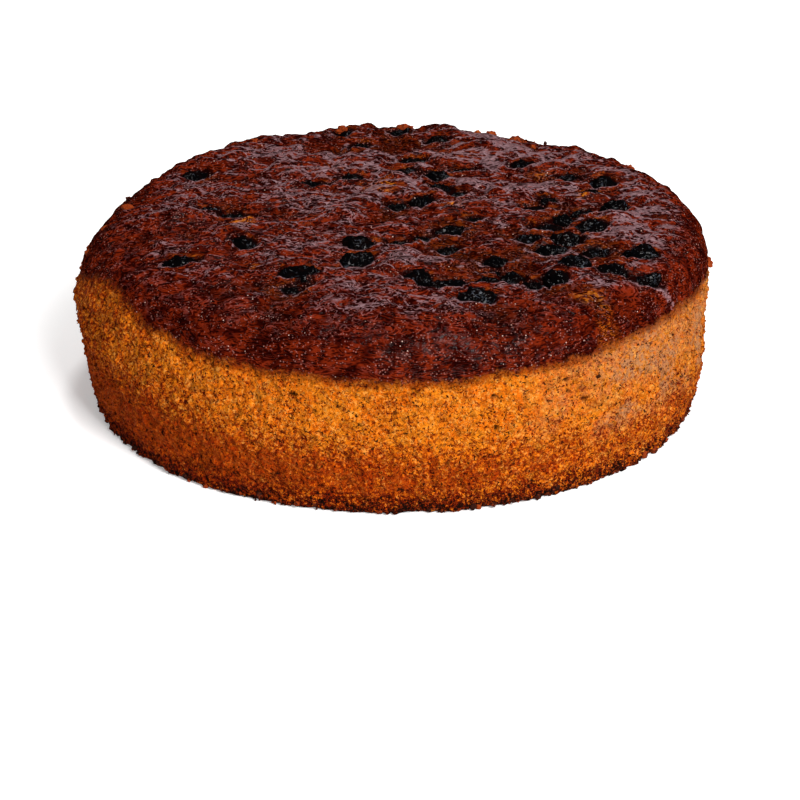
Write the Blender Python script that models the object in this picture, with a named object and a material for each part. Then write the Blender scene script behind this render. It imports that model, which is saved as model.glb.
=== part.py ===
"""A round carrot cake as it leaves a 23 cm tin: one deep layer of crumb under a lumpy baked crust, with raisins
set in pockets of the crust. It stands on its flat base at the origin, +Z up, in metres."""

import functools
import math

import bmesh
import bpy
import numpy as np
from mathutils import Vector
from mathutils.geometry import delaunay_2d_cdt

# Driving dimensions of the cake.
CAKE_RADIUS = 0.113
CAKE_HEIGHT = 0.068
CRUST_EDGE_HEIGHT = 0.051  # where the baked crust ends and the pale wall begins
SHOULDER_POWER = 17  # how squarely the crown turns over into the wall
SOFT_SIDE = math.pi  # the side that rose less in the oven, as an angle about +Z
SOFT_SIDE_DROP = 0.006  # how much lower the crust ends there
SOFT_SHOULDER_POWER = 7  # and how squarely the crown turns over there
BULGE = 0.0024  # how far the crumb bulges out there
BULGE_HEIGHT, BULGE_REACH = 0.037, 0.007
BASE_DRAW_IN = 0.005  # how far the wall draws in towards the base
BASE_DRAW_HEIGHT = 0.034  # the height below which it does
BASE_CHAMFER = 0.0012

# The crust's relief: it swells between the raisins and sinks round each of them.
SWELLS = ((0.0018, 0.019, 3), (0.0011, 0.010, 8))  # height, pitch and seed
DIP_DEPTH = 0.0022
DIP_REACH = 0.0085
RIM_FADE = 12  # how late, towards the wall, the relief fades: the power of the radius that it fades with
# The wall's relief, and the rougher band at its foot.
CRAGS = ((0.0009, 0.019, 21), (0.0006, 0.007, 34))
RAGGED_BASE_HEIGHT = 0.014
RAGGED_BASE_CRAG = 0.0010
RAGGED_SEED = 55

# How finely the solid is faceted.
CROWN_RINGS = 16
CROWN_RADIUS = 0.094  # the outermost ring of the crown's even mesh
SHOULDER_SHARES = (0.83, 0.65, 0.45, 0.22, 0)  # of the turn from that ring to the crust's edge
WALL_SHARES = (0.88, 0.74, 0.6, 0.46, 0.32, 0.2, 0.1)  # of the crust edge's height
LATTICE = 32  # cells after which the noise repeats

RAISIN_GAP = 0.0004  # between a raisin and its pocket
RAISIN_THICKNESS = 0.75  # of its width
RAISIN_TILT = 10  # degrees, at most
RAISIN_SIDES, RAISIN_RINGS = 8, 5
RAISIN_DENT, RAISIN_DENT_PITCH, RAISIN_DENT_SEED = 0.13, 0.9, 70
RAISIN_NOISE_STEP = 7.3  # between one raisin's noise and the next
RAISIN_TILT_SEED = 5
# Each raisin's centre, length and width in mm, how far it is turned in degrees, and how far its middle stands above
# the crust in mm. They are listed by where they lie, seen from the front.
RAISINS = {
    "left": (
        (-75, 46, 11.5, 7.5, 30, -0.6),
        (-67.5, 7, 8, 6, 10, -1.2),
        (-59, 2, 11, 7, -5, -1.2),
        (-53, -29, 14, 8.5, -58, -0.5),
        (-73, -47, 12, 10, 12, -0.2),
        (-32, -59.5, 14, 10, -12, -0.3),
        (-34, -70, 10, 6.5, 12, -1.1),
    ),
    "back": (
        (-29.5, 30, 12.5, 7, -8, -1.0),
        (-16, 37, 10, 8, 50, -0.3),
        (-20, 96, 8, 6, 0, -0.9),
        (-13.5, 79.5, 8.5, 6, 20, -1.0),
        (2.5, 101, 9, 6, 0, -0.7),
        (17, 84, 10, 7, 0, -0.8),
        (7, 58, 11, 7.5, 20, -0.6),
        (3, 48, 11.5, 6.5, -5, -1.0),
        (15, 42, 11, 9, -20, 0.0),
        (26.5, 48, 11.5, 6.5, -5, -0.9),
        (47.5, 53.5, 11, 7.5, 20, -0.6),
    ),
    "middle": (
        (0.5, 12, 8.5, 6.5, 0, -0.8),
        (10.2, 13.5, 10.5, 8, 45, -0.2),
        (17, 28.5, 8.5, 7, -30, -0.5),
        (23.5, 21.5, 7.5, 6.5, -15, -0.8),
        (28, -3, 7, 5.5, 0, -1.0),
        (19.5, -13.5, 12.5, 8.5, 18, -0.3),
        (9.5, -24, 9, 7, 15, -0.7),
        (1.5, -29.5, 9.5, 6.5, -5, -0.7),
        (19, -33.5, 9, 6.5, 5, -0.8),
        (-12, -34, 12, 9.5, 0, 0.0),
        (-12.5, -46.5, 12, 9.5, 12, 0.1),
    ),
    "front": (
        (8, -63, 12, 8.5, -45, -0.2),
        (17.5, -68.5, 13, 8, 8, -0.5),
        (28, -82.5, 14, 8.5, 20, 0.2),
        (31, -69, 10, 7, 5, -0.4),
        (33.5, -54.5, 8.5, 6.5, 0, -0.8),
        (36, -44.5, 10, 8, -20, -0.1),
        (40.5, -61.5, 8.5, 8.5, 0, 0.0),
        (47.5, -67.5, 6.5, 6, 10, -0.2),
        (55, -64, 9, 8.5, 20, 0.1),
    ),
    "right": (
        (48, -21.5, 9, 6.5, -15, -0.9),
        (55, -33, 12, 8.5, -5, 0.1),
        (61, -23.5, 12, 8, -20, -0.1),
        (53.5, -10.5, 12, 7.5, 20, -0.3),
        (61, -3, 8.5, 7.5, -30, -0.3),
        (70, -13.5, 12.5, 8.5, 12, -0.1),
        (68, 2.5, 8, 5.5, 15, -0.8),
        (80, 5.5, 11, 9, 20, 0.0),
        (51.5, 8, 11, 6.5, -5, -1.0),
        (56, 16, 7, 6, 0, -0.7),
        (72.5, 20.5, 8, 6.5, -30, -0.6),
        (77, 33.5, 11, 9, -25, 0.0),
        (65, 42, 11, 7, 0, -0.9),
        (71, -34.5, 12, 7.5, 5, -0.3),
        (85.5, -39.5, 13, 10.5, -22, 0.2),
        (61.5, -53, 11.5, 9, 0, 0.0),
        (74, -56, 11.5, 8, -18, -0.2),
        (86, -58.5, 10.5, 6.5, 5, -0.6),
    ),
}

# Loose crumbs baked onto the cake. Those on the rim are placed, as angle in degrees, height and radius in metres.
RIM_CRUMBS = (
    (62, 0.0665, 0.0030),
    (88, 0.0645, 0.0024),
    (102, 0.0665, 0.0018),
    (34, 0.0630, 0.0020),
    (-4, 0.0520, 0.0022),
    (123, 0.0660, 0.0018),
    (172, 0.0480, 0.0020),
)
BASE_CRUMBS = 12
BASE_CRUMB_RADII = (0.0013, 0.0022)
BASE_CRUMB_SPREAD = 0.8  # of the way to the next one that a crumb may lie
BASE_CRUMB_LIFTS = (1.1, 2.2)  # of its radius that its middle stands above the base
BASE_CRUMB_SEED = 12
CRUMB_SINK = 0.35  # how much of its radius a crumb's middle lies inside the cake

CRUMB_COLOUR = (0.56, 0.17, 0.02)
CRUST_COLOUR = (0.10, 0.016, 0.006)
RAISIN_COLOUR = (0.006, 0.005, 0.006)
CRUMB_ROUGHNESS, CRUST_ROUGHNESS, RAISIN_ROUGHNESS = 0.85, 0.35, 0.35


@functools.cache
def lattice(seed):
    """A cube of random values from -1 to 1."""
    return np.random.default_rng(seed).uniform(-1, 1, (LATTICE,) * 3)


def rolling(points, pitch, seed):
    """Smooth noise from -1 to 1: random values on a cubic lattice of that pitch, eased between its points."""
    values = lattice(seed)
    scaled = np.asarray(points, float) / pitch
    cell = np.floor(scaled).astype(int)
    part = scaled - cell
    part = part * part * (3 - 2 * part)
    total = np.zeros(scaled.shape[:-1])
    for corner in np.ndindex(2, 2, 2):
        index = np.moveaxis((cell + corner) % LATTICE, -1, 0)
        total += values[tuple(index)] * np.prod(np.where(corner, part, 1 - part), axis=-1)
    return total


def raisin_rows():
    """Every raisin's row as (x, y, length, width, turn, lift), in metres and radians."""
    rows = np.array([row for group in RAISINS.values() for row in group], float)
    rows[:, (0, 1, 2, 3, 5)] *= 0.001
    rows[:, 4] = np.radians(rows[:, 4])
    return rows


def softness(angle):
    """How near that angle is to the cake's soft side, from 0 to 1."""
    return np.maximum(np.cos(angle - SOFT_SIDE), 0) ** 2


def edge_height(angle):
    """Where the crust ends on the wall at that angle."""
    return CRUST_EDGE_HEIGHT - SOFT_SIDE_DROP * softness(angle)


def shoulder_power(angle):
    """The power of the superellipse that the crown follows at that angle."""
    return SHOULDER_POWER + (SOFT_SHOULDER_POWER - SHOULDER_POWER) * softness(angle)


def crown_height(x, y):
    """The smooth crown's height: a superellipse from the crust's edge on the wall up to the middle."""
    angle = np.arctan2(y, x)
    share = np.minimum(np.hypot(x, y) / CAKE_RADIUS, 1)
    edge = edge_height(angle)
    return edge + (CAKE_HEIGHT - edge) * np.sqrt(1 - share ** shoulder_power(angle))


def crust_relief(x, y, raisins):
    """How far the crust stands above the smooth crown: swells that fade towards the wall, less a dip round each
    raisin that grows no deeper where dips meet."""
    flat = np.stack([x, y, np.zeros_like(x)], axis=-1)
    swell = sum(height * rolling(flat, pitch, seed) for height, pitch, seed in SWELLS)
    away = np.hypot(x[..., None] - raisins[:, 0], y[..., None] - raisins[:, 1])
    dip = 1 - np.prod(1 - np.exp(-((away / DIP_REACH) ** 2)), axis=-1)
    fade = 1 - np.minimum(np.hypot(x, y) / CAKE_RADIUS, 1) ** RIM_FADE
    return (swell - DIP_DEPTH * dip) * fade


def crust_height(x, y, raisins):
    """Height of the crust at a point of the plan."""
    x, y = np.asarray(x, float), np.asarray(y, float)
    return crown_height(x, y) + crust_relief(x, y, raisins)


def wall_radius(height):
    """The smooth wall's radius, which draws in towards the base along a parabola."""
    return CAKE_RADIUS - BASE_DRAW_IN * np.maximum(1 - height / BASE_DRAW_HEIGHT, 0) ** 2


def crumb_relief(points):
    """How far the crumb stands out from the smooth wall: two sizes of crag, a rougher band at the base and the
    bulge of the soft side."""
    crags = sum(height * rolling(points, pitch, seed) for height, pitch, seed in CRAGS)
    low = np.clip(1 - points[..., 2] / RAGGED_BASE_HEIGHT, 0, 1)
    ragged = RAGGED_BASE_CRAG * low * rolling(points, CRAGS[1][1], RAGGED_SEED)
    bulge = BULGE * np.exp(-(((points[..., 2] - BULGE_HEIGHT) / BULGE_REACH) ** 2))
    return crags + ragged + bulge * softness(np.arctan2(points[..., 1], points[..., 0])) ** 2


def material(name, colour, roughness):
    """A plain surface of that colour."""
    made = bpy.data.materials.new(name)
    made.use_nodes = True
    surface = made.node_tree.nodes["Principled BSDF"]
    surface.inputs["Base Color"].default_value = (*colour, 1)
    surface.inputs["Roughness"].default_value = roughness
    surface.inputs["Metallic"].default_value = 0
    return made


def add_object(name, mesh, collection):
    """A new object of that mesh in the collection."""
    made = bpy.data.objects.new(name, mesh)
    collection.objects.link(made)
    return made


def crown_disc():
    """The crown's plan as a mesh: rings of 6, 12, 18 and more points, joined into even triangles."""
    spots = [Vector((0, 0))]
    for ring in range(1, CROWN_RINGS + 1):
        radius = CROWN_RADIUS * ring / CROWN_RINGS
        for step in range(6 * ring):
            angle = 2 * math.pi * step / (6 * ring)
            spots.append(Vector((radius * math.cos(angle), radius * math.sin(angle))))
    plan, _, faces, *_ = delaunay_2d_cdt(spots, [], [], 0, 1e-6)
    disc = bmesh.new()
    corners = [disc.verts.new((*spot, 0)) for spot in plan]
    for face in faces:
        disc.faces.new([corners[index] for index in face])
    return disc


def wall_rings(angles):
    """Each ring of the smooth cake below the crown's disc, as its radius and its height at each angle."""
    power, edge = shoulder_power(angles), edge_height(angles)
    start = np.arccos((CROWN_RADIUS / CAKE_RADIUS) ** (power / 2))
    for share in SHOULDER_SHARES:
        turn = share * start
        yield CAKE_RADIUS * np.cos(turn) ** (2 / power), edge + (CAKE_HEIGHT - edge) * np.sin(turn)
    for share in WALL_SHARES:
        yield wall_radius(share * edge), share * edge
    base = np.full_like(angles, wall_radius(0))
    yield base, np.full_like(angles, BASE_CHAMFER)
    yield base - BASE_CHAMFER, np.zeros_like(angles)


def cake_mesh(raisins):
    """The cake's closed surface: the disc set on the crown, extruded ring by ring down the wall, and closed flat."""
    cake = crown_disc()
    for corner in cake.verts:
        corner.co.z = crust_height(corner.co.x, corner.co.y, raisins)
    rim = [edge for edge in cake.edges if edge.is_boundary]
    sides = 6 * CROWN_RINGS
    angles = np.linspace(0, 2 * np.pi, sides, endpoint=False)
    for radius, height in wall_rings(angles):
        made = bmesh.ops.extrude_edge_only(cake, edges=rim)["geom"]
        rim = [part for part in made if isinstance(part, bmesh.types.BMEdge) and part.is_boundary]
        smooth = np.stack([radius * np.cos(angles), radius * np.sin(angles), height], axis=-1)
        out = radius + np.where(height > 0, crumb_relief(smooth), 0)
        rise = np.where(height > edge_height(angles), crust_relief(smooth[:, 0], smooth[:, 1], raisins), 0)
        for corner in (part for part in made if isinstance(part, bmesh.types.BMVert)):
            side = round(math.atan2(corner.co.y, corner.co.x) / (2 * math.pi) * sides) % sides
            angle = angles[side]
            corner.co = (out[side] * math.cos(angle), out[side] * math.sin(angle), height[side] + rise[side])
    bmesh.ops.contextual_create(cake, geom=rim)
    bmesh.ops.recalc_face_normals(cake, faces=cake.faces)
    for face in cake.faces:
        middle = face.calc_center_median()
        face.material_index = int(middle.z < edge_height(math.atan2(middle.y, middle.x)))
    mesh = bpy.data.meshes.new("cake")
    cake.to_mesh(mesh)
    cake.free()
    return mesh


def crumb_rows():
    """Every loose crumb as (angle, height, radius): those on the rim as listed, those at the foot drawn."""
    rows = [(math.radians(angle), height, radius) for angle, height, radius in RIM_CRUMBS]
    draw = np.random.default_rng(BASE_CRUMB_SEED)
    for step in range(BASE_CRUMBS):
        angle = 2 * math.pi * (step + draw.uniform(0, BASE_CRUMB_SPREAD)) / BASE_CRUMBS
        radius = draw.uniform(*BASE_CRUMB_RADII)
        rows.append((angle, radius * draw.uniform(*BASE_CRUMB_LIFTS), radius))
    return rows


def surface_radius(angle, height):
    """How far out the smooth cake reaches at that height."""
    edge = edge_height(angle)
    if height < edge:
        return wall_radius(height)
    rise = min((height - edge) / (CAKE_HEIGHT - edge), 1)
    return CAKE_RADIUS * (1 - rise**2) ** (1 / shoulder_power(angle))


def fuse_crumbs(cake, collection):
    """Fuses loose crumbs to the rim and the foot of the cake."""
    for number, (angle, height, radius) in enumerate(crumb_rows()):
        out = surface_radius(angle, height) - CRUMB_SINK * radius
        mesh = bpy.data.meshes.new(f"crumb_{number}")
        ball = bmesh.new()
        bmesh.ops.create_icosphere(ball, subdivisions=1, radius=radius)
        ball.to_mesh(mesh)
        ball.free()
        crumb = add_object(mesh.name, mesh, collection)
        crumb.location = (out * math.cos(angle), out * math.sin(angle), height)
        crumb.rotation_euler = (angle, number, 0)
    fuse = cake.modifiers.new("fuse crumbs", "BOOLEAN")
    fuse.operation = "UNION"
    fuse.operand_type = "COLLECTION"
    fuse.collection = collection
    bpy.context.view_layer.update()
    fused = bpy.data.meshes.new_from_object(cake.evaluated_get(bpy.context.evaluated_depsgraph_get()))
    cake.modifiers.clear()
    cake.data = fused
    for crumb in list(collection.objects):
        bpy.data.objects.remove(crumb)
    bpy.data.collections.remove(collection)


def raisin_mesh(number):
    """A shrivelled ball of radius 1: a sphere that is dented by slow noise, differently for each raisin."""
    ball = bmesh.new()
    bmesh.ops.create_uvsphere(ball, u_segments=RAISIN_SIDES, v_segments=RAISIN_RINGS, radius=1)
    for corner in ball.verts:
        spot = np.array(corner.co) + RAISIN_NOISE_STEP * number
        corner.co *= 1 + RAISIN_DENT * rolling(spot, RAISIN_DENT_PITCH, RAISIN_DENT_SEED)
    mesh = bpy.data.meshes.new(f"raisin_{number:02d}")
    ball.to_mesh(mesh)
    ball.free()
    mesh.shade_smooth()
    return mesh


def add_raisins(raisins, collection, pockets):
    """Sets each raisin in the crust, and beside it the slightly larger shape that cuts its pocket."""
    finish = material("raisin", RAISIN_COLOUR, RAISIN_ROUGHNESS)
    draw = np.random.default_rng(RAISIN_TILT_SEED)
    for number, (x, y, length, width, turn, lift) in enumerate(raisins, start=1):
        mesh = raisin_mesh(number)
        mesh.materials.append(finish)
        half = np.array([length, width, width * RAISIN_THICKNESS]) / 2
        tilt = np.radians(draw.uniform(-RAISIN_TILT, RAISIN_TILT, 2))
        raisin = add_object(f"raisin_{number:02d}", mesh, collection)
        raisin.scale = half
        pocket = add_object(f"pocket_{number:02d}", mesh, pockets)
        pocket.scale = half + RAISIN_GAP
        pocket.hide_render = True
        pocket.display_type = "WIRE"
        for shape in (raisin, pocket):
            shape.location = (x, y, crust_height(x, y, raisins) + lift)
            shape.rotation_euler = (*tilt, turn)


def main():
    """Builds the cake with its loose crumbs, and the raisins in their pockets."""
    for old in list(bpy.data.objects):
        bpy.data.objects.remove(old)
    parts = bpy.data.collections.new("Carrot cake")
    pockets = bpy.data.collections.new("Cutters")
    crumbs = bpy.data.collections.new("Loose crumbs")
    for collection in (parts, pockets, crumbs):
        bpy.context.scene.collection.children.link(collection)

    raisins = raisin_rows()
    cake = add_object("cake", cake_mesh(raisins), parts)
    cake.data.materials.append(material("crust", CRUST_COLOUR, CRUST_ROUGHNESS))
    cake.data.materials.append(material("crumb", CRUMB_COLOUR, CRUMB_ROUGHNESS))
    fuse_crumbs(cake, crumbs)
    cake.data.shade_smooth()
    add_raisins(raisins, parts, pockets)
    cut = cake.modifiers.new("raisin pockets", "BOOLEAN")
    cut.operation = "DIFFERENCE"
    cut.operand_type = "COLLECTION"
    cut.collection = pockets


main()
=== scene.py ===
"""Dresses a round carrot cake: a glossy, wrinkled baked crust with raisins sunk in it, a wall of coarse
orange crumb, and the loose crumbs on its rim and at its foot. Sizes are in metres, in the solids' frame."""

import functools
import itertools
import logging
import math
from dataclasses import dataclass, field
from enum import Enum

import bpy
import numpy as np
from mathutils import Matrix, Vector


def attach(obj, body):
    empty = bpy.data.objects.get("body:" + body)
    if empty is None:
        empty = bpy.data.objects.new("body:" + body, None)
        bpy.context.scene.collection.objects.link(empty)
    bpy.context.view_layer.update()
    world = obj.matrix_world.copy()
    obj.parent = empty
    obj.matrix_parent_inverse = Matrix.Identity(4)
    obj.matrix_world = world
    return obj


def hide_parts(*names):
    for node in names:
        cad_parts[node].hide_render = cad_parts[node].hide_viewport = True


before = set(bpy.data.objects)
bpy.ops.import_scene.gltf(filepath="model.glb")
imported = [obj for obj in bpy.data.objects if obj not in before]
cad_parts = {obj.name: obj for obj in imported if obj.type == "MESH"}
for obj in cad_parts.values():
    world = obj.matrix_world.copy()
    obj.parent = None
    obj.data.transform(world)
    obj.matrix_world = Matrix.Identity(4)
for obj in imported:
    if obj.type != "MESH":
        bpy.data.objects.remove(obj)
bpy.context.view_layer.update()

log = logging.getLogger("carrot cake")

Points = np.ndarray
Colour = tuple[float, float, float]
Place = tuple[float, float, float]
Span = tuple[float, float]
Grain = tuple[float, int]  # a noise's pitch and seed
Layer = tuple[float, float, int]  # a noise's depth or height, pitch and seed
Knead = tuple[float, float, int]  # pitch, reach and seed of the noise that stirs points
Socket = bpy.types.NodeSocket
LATTICE = 32  # cells after which the rolling noise of the solids repeats
FINE_LATTICE = 64  # and the finer noises here
MILLIMETRE = 0.001
GROUND = 0.00002  # the least height of a crumb's points, so that none dips into the floor
RIPPLE_GAIN = 1.7  # brings gradient noise to values from about -1 to 1


# ---------------------------------------------------------------- noise


def smoothstep(low: float, high: float, value: np.ndarray) -> np.ndarray:
    """Eases from 0 at low to 1 at high along the cubic 3t^2 - 2t^3.

    Args:
        low: The value where the result leaves 0.
        high: The value where it reaches 1. It may be the smaller one.
        value: The values to ease.

    Returns:
        Numbers from 0 to 1, of value's shape.
    """
    share = np.clip((value - low) / (high - low), 0, 1)
    return share * share * (3 - 2 * share)


@functools.cache
def random_values(seed: int) -> np.ndarray:
    """A cube of random values from -1 to 1, the same as the solids draw."""
    return np.random.default_rng(seed).uniform(-1, 1, (LATTICE,) * 3)


@functools.cache
def random_slopes(seed: int) -> np.ndarray:
    """A cube of random unit vectors."""
    slopes = np.random.default_rng(seed).normal(size=(FINE_LATTICE,) * 3 + (3,))
    return slopes / np.linalg.norm(slopes, axis=-1, keepdims=True)


@functools.cache
def random_spots(seed: int) -> tuple[np.ndarray, np.ndarray]:
    """A cube of random places inside unit cells, and one random value from 0 to 1 for each."""
    draw = np.random.default_rng(seed)
    return draw.uniform(0, 1, (FINE_LATTICE,) * 3 + (3,)), draw.uniform(0, 1, (FINE_LATTICE,) * 3)


def rolling(points: Points, pitch: float, seed: int) -> np.ndarray:
    """Smooth noise: random values on a cubic lattice, eased between its points as the solids do it.

    Args:
        points: Places, with x, y and z along the last axis.
        pitch: The lattice's spacing.
        seed: Chooses the random values.

    Returns:
        Values from -1 to 1, one a point.
    """
    values = random_values(seed)
    scaled = points / pitch
    cell = np.floor(scaled).astype(int)
    part = scaled - cell
    part = part * part * (3 - 2 * part)
    total = np.zeros(scaled.shape[:-1])
    for corner in np.ndindex(2, 2, 2):
        index = np.moveaxis((cell + corner) % LATTICE, -1, 0)
        total += values[tuple(index)] * np.prod(np.where(corner, part, 1 - part), axis=-1)
    return total


def ripple(points: Points, pitch: float, seed: int) -> np.ndarray:
    """Gradient noise: random slopes on a cubic lattice, blended with a quintic ease.

    Args:
        points: Places, with x, y and z along the last axis.
        pitch: The lattice's spacing.
        seed: Chooses the random slopes.

    Returns:
        Values from about -1 to 1, one a point.
    """
    slopes = random_slopes(seed)
    scaled = points / pitch
    cell = np.floor(scaled).astype(int)
    part = scaled - cell
    ease = part**3 * (part * (part * 6 - 15) + 10)
    total = np.zeros(scaled.shape[:-1])
    for corner in np.ndindex(2, 2, 2):
        index = tuple(np.moveaxis((cell + corner) % FINE_LATTICE, -1, 0))
        lean = ((part - corner) * slopes[index]).sum(axis=-1)
        total += lean * np.prod(np.where(corner, ease, 1 - ease), axis=-1)
    return RIPPLE_GAIN * total


def stir(points: Points, pitch: float, reach: float, seed: int) -> Points:
    """Moves each point by gradient noise along x, y and z, so that what is drawn there looks kneaded.

    Args:
        points: Places, with x, y and z along the last axis.
        pitch: The noise's spacing.
        reach: How far it moves a point.
        seed: Chooses the first of three noises.

    Returns:
        The moved points.
    """
    moves = [ripple(points, pitch, seed + axis) for axis in range(3)]
    return points + reach * np.stack(moves, axis=-1)


def dented(places: Points, dents: tuple[Layer, ...]) -> np.ndarray:
    """How far out the points of a unit ball lie once some noises have dented it.

    Args:
        places: Where each point reads the noises.
        dents: The noises.

    Returns:
        Numbers about 1, one a point.
    """
    out = np.ones(places.shape[:-1])
    for depth, pitch, seed in dents:
        out += depth * ripple(places, pitch, seed)
    return out


def cells(points: Points, pitch: float, seed: int) -> tuple[np.ndarray, np.ndarray]:
    """Cellular noise: one spot at random in each cell of a cubic lattice.

    Args:
        points: Places, with x, y and z along the last axis.
        pitch: The lattice's spacing.
        seed: Chooses the spots.

    Returns:
        For each point, how far the nearest spot is in pitches, and that spot's own random value from 0 to 1.
    """
    spots, values = random_spots(seed)
    scaled = points / pitch
    cell = np.floor(scaled).astype(int)
    nearest = np.full(scaled.shape[:-1], np.inf)
    value = np.zeros_like(nearest)
    for offset in itertools.product((-1, 0, 1), repeat=3):
        near_cell = cell + offset
        index = tuple(np.moveaxis(near_cell % FINE_LATTICE, -1, 0))
        away = np.linalg.norm(near_cell + spots[index] - scaled, axis=-1)
        value = np.where(away < nearest, values[index], value)
        nearest = np.minimum(nearest, away)
    return nearest, value


# ---------------------------------------------------------------- meshes


def grid_quads(rows: int, columns: int, around: bool = False) -> np.ndarray:
    """The quads of a grid whose points are numbered row by row.

    Args:
        rows: Points down the grid.
        columns: Points across it.
        around: Whether the last column joins the first.

    Returns:
        Corner numbers, four a quad, which turn anticlockwise where rows run down and columns to the right.
    """
    row = np.arange(rows - 1)[:, None] * columns
    column = np.arange(columns if around else columns - 1)[None, :]
    beside = (column + 1) % columns
    corners = [row + column, row + columns + column, row + columns + beside, row + beside]
    return np.stack(corners, axis=-1).reshape(-1, 4)


def fan(ring: np.ndarray, middle: int) -> np.ndarray:
    """Triangles from a closed ring of points to one middle point, turning as the ring does."""
    return np.stack([ring, np.roll(ring, -1), np.full_like(ring, middle)], axis=-1)


def ball(sides: int, rings: int) -> tuple[Points, list[np.ndarray]]:
    """A unit sphere as a grid of longitude and latitude with its two poles closed.

    Args:
        sides: Points round each ring.
        rings: Rings between the poles.

    Returns:
        The points, and the polygons as arrays of corner numbers.
    """
    drop = np.pi * (np.arange(rings) + 1) / (rings + 1)
    turn = 2 * np.pi * np.arange(sides) / sides
    drop, turn = np.meshgrid(drop, turn, indexing="ij")
    shell = np.stack([np.sin(drop) * np.cos(turn), np.sin(drop) * np.sin(turn), np.cos(drop)], axis=-1)
    shell = shell.reshape(-1, 3)
    points = np.concatenate([shell, [(0, 0, 1), (0, 0, -1)]])
    first, last = np.arange(sides), np.arange(sides) + sides * (rings - 1)
    top, bottom = fan(first, len(shell)), fan(last[::-1], len(shell) + 1)
    return points, [grid_quads(rings, sides, around=True), top, bottom]


def repeated(polygons: list[np.ndarray], size: int, count: int) -> list[np.ndarray]:
    """The polygons of many copies of one mesh, whose points follow each other.

    Args:
        polygons: One copy's polygons.
        size: How many points one copy has.
        count: How many copies there are.

    Returns:
        All copies' polygons.
    """
    shift = (np.arange(count) * size)[:, None, None]
    return [(polygon[None] + shift).reshape(-1, polygon.shape[1]) for polygon in polygons]


@dataclass
class Piece:
    """One piece of the dressed cake, before it becomes a Blender object."""

    name: str
    points: Points
    polygons: list[np.ndarray]
    material: bpy.types.Material
    slot: str
    replaces: tuple[str, ...] = ()
    masks: dict[str, np.ndarray] = field(default_factory=dict)
    flat: int = 0  # how many of the last polygons are shaded flat, as a hidden lid is

    def make(self) -> bpy.types.Object:
        """Puts the points and polygons into a mesh and joins the piece to the frame.

        Returns:
            The object, at the origin, unturned and unscaled.
        """
        mesh = bpy.data.meshes.new(self.name)
        corners = np.concatenate([polygon.ravel() for polygon in self.polygons])
        sizes = np.concatenate([np.full(len(polygon), polygon.shape[1]) for polygon in self.polygons])
        mesh.vertices.add(len(self.points))
        mesh.vertices.foreach_set("co", self.points.astype(np.float32).ravel())
        mesh.loops.add(len(corners))
        mesh.loops.foreach_set("vertex_index", corners.astype(np.int32))
        mesh.polygons.add(len(sizes))
        mesh.polygons.foreach_set("loop_start", (np.cumsum(sizes) - sizes).astype(np.int32))
        smooth = np.ones(len(sizes), bool)
        smooth[len(sizes) - self.flat :] = False
        mesh.polygons.foreach_set("use_smooth", smooth)
        mesh.update(calc_edges=True)
        for name, values in self.masks.items():
            mesh.attributes.new(name, "FLOAT", "POINT").data.foreach_set("value", values.astype(np.float32))
        mesh.materials.append(self.material)
        made = bpy.data.objects.new(self.name, mesh)
        bpy.context.scene.collection.objects.link(made)
        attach(made, "root")
        if self.replaces:
            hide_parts(*self.replaces)
        triangles = int((sizes - 2).sum())
        log.info("%s: %d points, %d triangles", self.name, len(self.points), triangles)
        return made


# ---------------------------------------------------------------- materials


@dataclass(frozen=True)
class Noise:
    """A noise of a finish, in the object's own space."""

    pitch: float  # the size of its largest forms
    detail: float = 2.0  # how many finer layers it has
    rough: float = 0.5  # how strong they are
    twist: float = 0.0  # how much it distorts itself
    shift: float = 0.0  # moves it, so that two noises of one pitch differ
    ease: Span = (0.0, 1.0)  # its values where the patches that it makes begin, and are full


@dataclass(frozen=True)
class Specks:
    """Small round specks about the spots of cellular noise."""

    pitch: float  # how far apart the spots are
    reach: float  # a speck's radius, in pitches
    where: Noise  # the patches that have them
    strength: float = 1.0


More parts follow.
